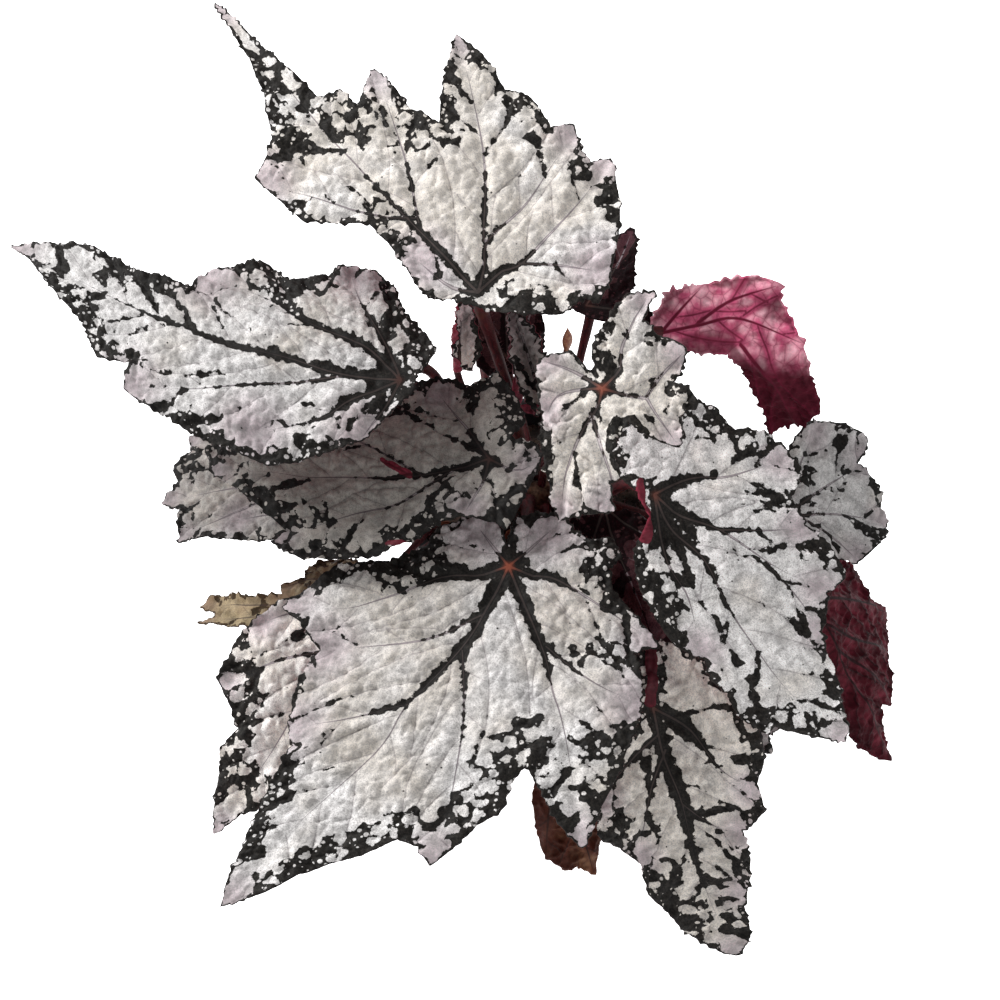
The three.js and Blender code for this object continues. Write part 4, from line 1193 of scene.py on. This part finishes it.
def tube(name, path, radii, sides, material, ribs=0.0, seed=1):
    # a closed bar along a path, its ends domed, with fine ribs round it
    path = np.array(path)
    ahead = np.gradient(path, axis=0)
    ahead /= np.linalg.norm(ahead, axis=1)[:, None]
    frames = []
    side = Vector(ahead[0]).orthogonal().normalized()
    for direction in ahead:
        direction = Vector(direction)
        side = (side - side.dot(direction) * direction).normalized()
        frames.append((side.copy(), direction.cross(side)))
    rng = np.random.default_rng(seed)
    phases = rng.uniform(0, tau, 3)
    run = np.r_[0, np.cumsum(np.linalg.norm(np.diff(path, axis=0), axis=1))]
    points, flats = [], []
    for k, centre in enumerate(path):
        for j in range(sides):
            angle = tau * j / sides
            rib = 1 + ribs * (sin(3 * angle + phases[0] + 0.02 * run[k]) + 0.6 * sin(7 * angle + phases[1]))
            rib += 0.5 * ribs * sin(run[k] * 0.35 + phases[2] + 2 * angle)
            offset = float(radii[k]) * rib * (cos(angle) * frames[k][0] + sin(angle) * frames[k][1])
            points.append(Vector(centre) + offset)
            flats.append((run[k], angle * 2, 0))
    faces = ringFaces(len(path), sides)
    for ring, sign in ((0, -1), (len(path) - 1, 1)):
        centre = Vector(path[ring]) + sign * 0.25 * float(radii[ring]) * Vector(ahead[ring])
        points.append(centre)
        flats.append((run[ring], 0, 0))
        last = len(points) - 1
        for j in range(sides):
            a, b = ring * sides + j, ring * sides + (j + 1) % sides
            faces.append((b, a, last) if sign < 0 else (a, b, last))
    piece = newPiece(name, [p * mm for p in points], faces, material)
    setVectors(piece, "flat", flats)
    return piece


stalks = []
for number, (name, leaf) in enumerate(leaves.items()):
    path = stalkPath(leaf)
    radius = leaf["stalk"]["radius"]
    share = np.linspace(0, 1, len(path))
    radii = radius * (0.98 - 0.3 * np.sin(pi * share) ** 0.7 + stalkBuild["flare"] * 0.2 * (1 - share) ** 6)
    stalk = tube(f"{name}_stalk", path, radii, stalkBuild["sides"], stalkSkin, stalkBuild["rib"], number)
    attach(stalk, "root")
    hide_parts(f"stalk_{name}")
    stalks.append(stalk)
print("begonia: stalks")


def makeRhizome():
    rings, sides = rhizome["rings"], rhizome["sides"]
    long = rhizome["halfLength"] + rhizome["radius"]
    rng = np.random.default_rng(5)
    knots = rng.uniform(-30, 30, rhizome["knots"]).tolist()
    axis = Vector((1, rhizome["slope"], 0)).normalized()
    level = Vector((-axis.y, axis.x, 0))
    points = []
    shares = np.linspace(-1, 1, rings)
    grid = np.array([(s * long, tau * j / sides * 8) for s in shares for j in range(sides)])
    rough = softNoise(grid, 3.2, 3) * 0.5 + softNoise(grid, 8, 4) * 0.7
    for k, share in enumerate(shares):
        at = float(share * long)
        beyond = max(0, abs(at) - rhizome["halfLength"])
        ring = sqrt(max(0, rhizome["radius"] ** 2 - beyond ** 2))
        bumps = [2.718 ** -(((at - knot) / rhizome["knotWidth"]) ** 2) for knot in knots]
        swell = rhizome["swell"] * sum(bumps)
        for j in range(sides):
            angle = tau * j / sides
            bark = float(rough[k * sides + j]) * min(1, ring / 6)
            size = max(0.05, ring - rhizome["inset"] + min(swell, 1.0) + bark)
            outward = cos(angle) * level + sin(angle) * Vector((0, 0, 1))
            points.append(rhizomePoint(0) + at * axis + size * outward)
    faces = ringFaces(rings, sides)
    faces.append(tuple(range(sides))[::-1])
    faces.append(tuple(range((rings - 1) * sides, rings * sides)))
    skin = earthMaterial("rhizomeBark", (0.05, 0.022, 0.012, 1), (0.20, 0.12, 0.07, 1), 0.004)
    piece = newPiece("creeping_rhizome", [p * mm for p in points], faces, skin)
    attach(piece, "root")
    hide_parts("rhizome")


makeRhizome()
print("begonia: rhizome")


# Pot and soil
pot = {"height": 115, "base": 46, "shoulder": 60, "rim": 65, "rimDepth": 20, "wall": 3, "floor": 4,
       "lip": 3, "flare": 1.6, "sides": 160, "round": 1.0}
soil = {"height": 104, "edgeDrop": 2, "gap": 0.3, "inset": 1.2, "rings": 44, "sides": 150,
        "coarse": (7, 1.1), "fine": (2.4, 0.9)}  # sizes and heights of its lumps


def roundedProfile(corners, radius, steps=5):
    # each corner of a profile is cut back and replaced by a small arc
    done = []
    for k, corner in enumerate(corners):
        here = np.array(corner, float)
        if k in (0, len(corners) - 1):
            done.append(here)
            continue
        back = np.array(corners[k - 1]) - here
        on = np.array(corners[k + 1]) - here
        size = min(radius, 0.4 * np.linalg.norm(back), 0.4 * np.linalg.norm(on))
        start = here + size * back / np.linalg.norm(back)
        end = here + size * on / np.linalg.norm(on)
        for t in np.linspace(0, 1, steps):
            done.append((1 - t) ** 2 * start + 2 * t * (1 - t) * here + t * t * end)
    return done


def turned(name, profile, sides, material):
    points = []
    for r, z in profile[1:-1]:
        for j in range(sides):
            angle = tau * j / sides
            points.append((r * cos(angle) * mm, r * sin(angle) * mm, z * mm))
    rings = len(profile) - 2
    faces = ringFaces(rings, sides)
    for ring, (_, z) in ((0, profile[0]), (rings - 1, profile[-1])):
        points.append((0, 0, z * mm))
        last = len(points) - 1
        for j in range(sides):
            a, b = ring * sides + j, ring * sides + (j + 1) % sides
            faces.append((b, a, last) if ring == 0 else (a, b, last))
    return newPiece(name, points, faces, material)


def makePot():
    height, rim, outer = pot["height"], pot["rim"], pot["shoulder"]
    shoulder = height - pot["rimDepth"]
    inner = pot["base"] - pot["wall"]
    profile = [
        (0, 1.2), (pot["base"] - 9, 1.2), (pot["base"] - 7, 0), (pot["base"] - 1.5, 0), (pot["base"], 2),
        (outer - 0.6, shoulder - 3), (outer, shoulder - 1.2), (outer, shoulder), (rim - 0.6, shoulder),
        (rim, height - 5.5), (rim - 0.7, height - 4.6), (rim - 0.1, height - 3.6), (rim, height),
        (rim - pot["wall"], height), (outer - pot["wall"] + pot["flare"], height - pot["lip"]),
        (outer - pot["wall"], shoulder), (inner, pot["floor"]), (0, pot["floor"])]
    piece = turned("nursery_pot", roundedProfile(profile, pot["round"]), pot["sides"], potMaterial())
    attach(piece, "root")
    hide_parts("pot")


def makeSoil():
    gap = soil["gap"]
    shoulder = pot["height"] - pot["rimDepth"]
    wall = pot["shoulder"] - pot["wall"]
    inner = pot["base"] - pot["wall"] - gap
    edge = soil["height"] - soil["edgeDrop"]
    top = soil["height"] - soil["inset"]
    rimInner = wall + pot["flare"] * 0.4 - gap
    profile = [(0, pot["floor"] + 0.3), (inner, pot["floor"] + 0.3), (wall - 0.3, shoulder),
               (rimInner, edge - 1)]
    for r in np.linspace(rimInner - 1.5, 1, soil["rings"]):
        profile.append((r, top - soil["edgeDrop"] * (r / rimInner) ** 3))
    profile.append((0, top))
    skin = earthMaterial("pottingMix", (0.012, 0.008, 0.006, 1), (0.07, 0.045, 0.03, 1), 0.005)
    piece = turned("potting_soil", profile, soil["sides"], skin)
    mesh = piece.data
    places = np.zeros(len(mesh.vertices) * 3)
    mesh.vertices.foreach_get("co", places)
    places = places.reshape(-1, 3)
    flat = places[:, :2] * 1000
    (fineSize, fineHeight), (coarseSize, coarseHeight) = soil["fine"], soil["coarse"]
    rough = fineHeight * softNoise(flat, fineSize, 8) + coarseHeight * softNoise(flat, coarseSize, 9)
    rough *= mm
    rough *= np.clip((rimInner - np.linalg.norm(flat, axis=1)) / 4, 0, 1)
    places[:, 2] += np.where(places[:, 2] > (edge - 2.5) * mm, rough, 0)
    mesh.vertices.foreach_set("co", places.ravel())
    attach(piece, "root")
    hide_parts("soil")
    return piece, skin


makePot()
soilPiece, soilSkin = makeSoil()
print("begonia: pot and soil")


# Things scattered by Geometry Nodes: hairs on the stalks and leaf margins, crumbs on the soil
scatterInputs = {"Geometry": "Geometry", "Density": "Float", "Least size": "Float", "Most size": "Float",
                 "Tilt": "Float", "Seed": "Int", "Bit": "Object", "Skin": "Material"}


def scatterTree(name):
    tree = bpy.data.node_groups.new(name, "GeometryNodeTree")
    for label, kind in scatterInputs.items():
        tree.interface.new_socket(label, in_out="INPUT", socket_type=f"NodeSocket{kind}")
    tree.interface.new_socket("Geometry", in_out="OUTPUT", socket_type="NodeSocketGeometry")
    given = tree.nodes.new("NodeGroupInput").outputs
    strewn = addNode(tree, "GeometryNodeDistributePointsOnFaces", {
        "Mesh": given["Geometry"], "Density": given["Density"], "Seed": given["Seed"]})
    tilt = addNode(tree, "FunctionNodeRandomValue", {
        0: sums(tree, "MULTIPLY", given["Tilt"], -1.0), 1: given["Tilt"], "Seed": given["Seed"]},
        data_type="FLOAT_VECTOR")
    turn = addNode(tree, "FunctionNodeRotateEuler", {
        "Rotation": strewn.outputs["Rotation"], "Rotate By": tilt.outputs[0]},
        rotation_type="EULER", space="LOCAL")
    size = addNode(tree, "FunctionNodeRandomValue", {
        2: given["Least size"], 3: given["Most size"], "Seed": given["Seed"]})
    shape = addNode(tree, "GeometryNodeObjectInfo", {"Object": given["Bit"]}, transform_space="ORIGINAL")
    copies = addNode(tree, "GeometryNodeInstanceOnPoints", {
        "Points": strewn.outputs["Points"], "Instance": shape.outputs["Geometry"],
        "Rotation": turn.outputs[0], "Scale": size.outputs[1]})
    real = addNode(tree, "GeometryNodeRealizeInstances", {"Geometry": copies.outputs[0]})
    coated = addNode(tree, "GeometryNodeSetMaterial", {
        "Geometry": real.outputs[0], "Material": given["Skin"]})
    out = tree.nodes.new("NodeGroupOutput")
    tree.links.new(coated.outputs[0], out.inputs[0])
    return tree


def scatter(name, base, values):
    # the finished mesh of all the bits; the two helpers it came from are removed
    tree = scatterTree(name)
    modifier = base.modifiers.new("scatter", "NODES")
    modifier.node_group = tree
    sockets = {item.name: item.identifier for item in tree.interface.items_tree if item.in_out == "INPUT"}
    for key, value in values.items():
        modifier[sockets[key]] = value
    evaluated = base.evaluated_get(bpy.context.evaluated_depsgraph_get())
    mesh = bpy.data.meshes.new_from_object(evaluated)
    base.modifiers.remove(modifier)
    mesh.name = name
    piece = bpy.data.objects.new(name, mesh)
    bpy.context.scene.collection.objects.link(piece)
    for helper in (values["Bit"], base):
        bpy.data.objects.remove(helper)
    return piece


def hiddenBit(name, points, faces, material):
    bit = newPiece(name, points, faces, material)
    bit.hide_render = True
    return bit


def joinedCopy(name, pieces):
    # the last faces of each piece, as many as the number beside it, in one mesh
    vertices, faces = [], []
    for piece, count in pieces:
        start = len(vertices)
        vertices += [v.co.copy() for v in piece.data.vertices]
        faces += [tuple(start + i for i in face.vertices) for face in piece.data.polygons[-count:]]
    return hiddenBit(name, vertices, faces, pieces[0][0].data.materials[0])


hairs = {"length": 1.6, "width": 0.075, "bow": 0.35, "tilt": 0.6, "sides": 3, "rings": (0.0, 0.45, 1.0),
         "taper": 0.85}
# where they grow: density per square metre, least and most size
hairy = {"stalk_hairs": (95000, 0.6, 1.7), "leaf_hairs": (750000, 0.35, 0.95)}


def makeHairs(name, pieces, seed):
    points = []
    for share in hairs["rings"]:
        size = hairs["width"] * (1 - hairs["taper"] * share)
        for j in range(hairs["sides"]):
            angle = tau * j / hairs["sides"]
            points.append((size * cos(angle) * mm + hairs["bow"] * share ** 2 * mm, size * sin(angle) * mm,
                           hairs["length"] * share * mm))
    faces = ringFaces(len(hairs["rings"]), hairs["sides"]) + [(2, 1, 0), (6, 7, 8)]
    hair = hiddenBit("hairBit", points, faces, hairSkin)
    base = joinedCopy("hairBase", pieces)
    density, least, most = hairy[name]
    piece = scatter(name, base, {
        "Density": density, "Least size": least, "Most size": most,
        "Tilt": hairs["tilt"], "Seed": seed, "Bit": hair, "Skin": hairSkin})
    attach(piece, "root")
    print("begonia:", name, len(piece.data.polygons), "faces")


crumbs = {"density": 110000, "least": 0.5, "most": 1.8, "tilt": 3.1, "corners": [
    (1, 0, 0.1), (0.1, 0.9, 0), (-0.7, 0.1, 0), (0, -1.1, 0.1), (0.1, 0, 0.7), (0, 0.1, -0.6)]}


def makeCrumbs():
    points = [mm * Vector(corner) for corner in crumbs["corners"]]
    faces = [(i, (i + 1) % 4, 4) for i in range(4)] + [((i + 1) % 4, i, 5) for i in range(4)]
    crumb = hiddenBit("crumbBit", points, faces, soilSkin)
    mesh = soilPiece.data
    top = [tuple(face.vertices) for face in mesh.polygons if face.normal.z > 0.5]
    base = hiddenBit("crumbBase", [v.co.copy() for v in mesh.vertices], top, soilSkin)
    piece = scatter("soil_crumbs", base, {
        "Density": crumbs["density"], "Least size": crumbs["least"], "Most size": crumbs["most"],
        "Tilt": crumbs["tilt"], "Seed": 7, "Bit": crumb, "Skin": soilSkin})
    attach(piece, "root")
    print("begonia: crumbs", len(piece.data.polygons), "faces")


makeHairs("stalk_hairs", [(piece, len(piece.data.polygons)) for piece in stalks], 4)
makeHairs("leaf_hairs", rims, 5)
makeCrumbs()


# Bud, scales and stipules
petal = {"steps": 26, "sides": 20, "ridges": (0.10, 0.05)}


def petalBody(name, material, foot, direction, length, width, depth, curl, seed):
    # a pointed folded scale that stands on its foot
    steps, sides = petal["steps"], petal["sides"]
    up = Vector(direction).normalized()
    side = up.orthogonal().normalized()
    front = up.cross(side)
    broad, fine = petal["ridges"]
    points = []
    for k in range(steps + 1):
        t = k / steps
        girth = (sin(pi * min(1, t * 0.62 + 0.19)) ** 1.4) * (1 - t ** 3.5) + 0.02
        centre = Vector(foot) + up * (t * length) + front * (curl * t * t * length)
        for j in range(sides):
            angle = tau * j / sides
            ridge = 1 + broad * cos(3 * angle + 2.5 * t + seed) + fine * cos(8 * angle + seed)
            points.append(centre + girth * ridge * (width * cos(angle) * side + depth * sin(angle) * front))
    faces = ringFaces(steps + 1, sides)
    faces.append(tuple(range(sides))[::-1])
    faces.append(tuple(range(steps * sides, (steps + 1) * sides)))
    piece = newPiece(name, [p * mm for p in points], faces, material)
    flats = [(length * k / steps, 2 * tau * j / sides, 0) for k in range(steps + 1) for j in range(sides)]
    setVectors(piece, "flat", flats)
    return piece


def budMaterial():
    material, tree, shader = newMaterial("budSkin")
    place = addNode(tree, "ShaderNodeTexCoord").outputs["Object"]
    streak = grain(tree, attribute(tree, "flat"), 1.4, 3, 0.6)
    colours = {"brown": (0.20, 0.05, 0.03, 1), "orange": (0.42, 0.19, 0.09, 1), "red": (0.30, 0.06, 0.05, 1)}
    colour = blend(tree, between(tree, streak, 0.3, 0.7), colours["brown"], colours["orange"])
    patch = between(tree, grain(tree, place, 0.006, 2), 0.5, 0.7, 0, 0.7)
    colour = blend(tree, patch, colour, colours["red"])
    tree.links.new(colour, shader.inputs["Base Color"])
    shader.inputs["Roughness"].default_value = 0.5
    bump(tree, shader, streak, 0.0003, 0.6)
    return material


bud = {"tip": (14.5, 40, 202), "length": 17, "radius": 3.2, "at": 8, "lean": 30, "side": 80,
       "stalkRadius": 1.6, "pull": 28, "steps": 50, "sides": 14, "rib": 0.06}
# foot, compass direction and lean of each scale
scales = {"scale_left": ((-42, -12), 215, 30), "scale_front": ((-13, -14), 262, 34),
          "scale_right": ((44, 12), 20, 32)}
scaleSize = (17, 3.2, 1.4, 0.05)  # length, half width, half depth, curl
budSkin = budMaterial()


def makeBud():
    seat = Vector(bud["tip"]) - Vector((0, 0, bud["length"]))
    radius = bud["radius"]
    tip = petalBody("leaf_bud", budSkin, seat, (0, 0, 1), bud["length"], radius * 0.95, radius * 0.7, 0, 1)
    rising = leaning(bud["lean"], bud["side"])
    foot = stalkFoot(bud["at"], rising, bud["stalkRadius"])
    top = seat - Vector((0, 0, stalkBuild["gap"]))
    pull = bud["pull"]
    path = bezier(foot, foot + rising * pull, top - Vector((0, 0, pull)), top, bud["steps"])
    radii = np.full(bud["steps"], bud["stalkRadius"])
    stem = tube("leaf_bud_stalk", path, radii, bud["sides"], stalkSkin, bud["rib"], 9)
    for piece, node, slot in ((tip, "bud", "bud_skin"), (stem, "bud_stalk", "stalk_red")):
        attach(piece, "root")
        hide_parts(node)


def makeScales():
    for seed, (name, (foot, side, lean)) in enumerate(scales.items()):
        low = Vector((*foot, soil["height"] + 0.3))
        piece = petalBody(f"papery_{name}", budSkin, low, leaning(lean, side), *scaleSize, seed)
        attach(piece, "root")
        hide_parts(name)


# papery stipules between the stalks, which have no solid: foot, direction, length and half width
stipules = {"stipule_back": ((-9, 33, 150), (0.03, 0.1, 1), 30, 4.8),
            "stipule_front": ((3, 25, 156), (-0.7, -0.4, 0.7), 18, 3.0)}
stipuleShape = (0.8, 0.05)  # half depth, curl


def makeStipules():
    skin = earthMaterial("stipuleSkin", (0.08, 0.007, 0.016, 1), (0.33, 0.045, 0.08, 1), 0.006)
    for seed, (name, (foot, direction, length, width)) in enumerate(stipules.items()):
        piece = petalBody(f"papery_{name}", skin, foot, direction, length, width, *stipuleShape, seed)
        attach(piece, "root")


makeBud()
makeScales()
makeStipules()
print("begonia: bud, scales and stipules")


# Floor, light and camera. halfFrame is half the picture's width over its distance.
view = {"target": (-18, -60, 200), "elevation": 55, "distance": 950, "halfFrame": 0.239}
studio = {
    "sky": 0.4, "sun": 3.1, "sunAngle": 30, "sunFrom": (-0.70, 0.38, 0.60),
    "floorGlow": 0.62, "floorSeen": 1.6, "floorSize": 6.0,
    "lampPlace": (1.2, -0.9, 1.2), "lampWidth": 1.2, "lampPower": 5, "lampAim": (0, 0, 0.15),
}


def makeStage():
    material, tree, shader = newMaterial("paleFloor")
    place = addNode(tree, "ShaderNodeTexCoord").outputs["Object"]
    colour = blend(tree, grain(tree, place, 0.5, 2), (0.86, 0.86, 0.86, 1), (0.9, 0.9, 0.9, 1))
    tree.links.new(colour, shader.inputs["Base Color"])
    shader.inputs["Roughness"].default_value = 0.8
    shader.inputs["Emission Color"].default_value = (1, 1, 1, 1)
    # the camera sees the floor plain white (floorSeen), but it lights the plant less (floorGlow)
    seen = addNode(tree, "ShaderNodeLightPath").outputs["Is Camera Ray"]
    glow = between(tree, seen, 0, 1, studio["floorGlow"], studio["floorSeen"])
    tree.links.new(glow, shader.inputs["Emission Strength"])
    size = studio["floorSize"]
    corners = [(-size, -size, 0), (size, -size, 0), (size, size, 0), (-size, size, 0)]
    floor = newPiece("floor", corners, [(0, 1, 2, 3)], material, False)
    world = bpy.data.worlds.new("studio")
    bpy.context.scene.world = world
    world.use_nodes = True
    world.node_tree.nodes["Background"].inputs["Color"].default_value = (1, 1, 1, 1)
    world.node_tree.nodes["Background"].inputs["Strength"].default_value = studio["sky"]
    sun = bpy.data.lights.new("softSun", "SUN")
    sun.energy = studio["sun"]
    sun.angle = radians(studio["sunAngle"])
    placeLight("softSun", sun, (0, 0, 0), studio["sunFrom"])
    lamp = bpy.data.lights.new("fill", "AREA")
    lamp.energy = studio["lampPower"]
    lamp.size = studio["lampWidth"]
    place = Vector(studio["lampPlace"])
    placeLight("fill", lamp, place, place - Vector(studio["lampAim"]))


def placeLight(name, light, place, back):
    # back points from what is lit to the light
    thing = bpy.data.objects.new(name, light)
    thing.location = place
    thing.rotation_euler = Vector(back).to_track_quat("Z", "Y").to_euler()
    bpy.context.scene.collection.objects.link(thing)


def makeCamera():
    camera = bpy.data.cameras.new("camera")
    camera.sensor_fit = "HORIZONTAL"
    camera.sensor_width = 36
    camera.lens = 0.5 * camera.sensor_width / view["halfFrame"]
    camera.clip_start = 0.01
    back = Vector((0, -cos(radians(view["elevation"])), sin(radians(view["elevation"]))))
    thing = bpy.data.objects.new("camera", camera)
    thing.location = (Vector(view["target"]) + view["distance"] * back) * mm
    thing.rotation_euler = (radians(90 - view["elevation"]), 0, 0)
    bpy.context.scene.collection.objects.link(thing)
    bpy.context.scene.camera = thing


makeStage()
makeCamera()
print("begonia: floor, light and camera")
bpy.context.scene.view_settings.view_transform = "Standard"
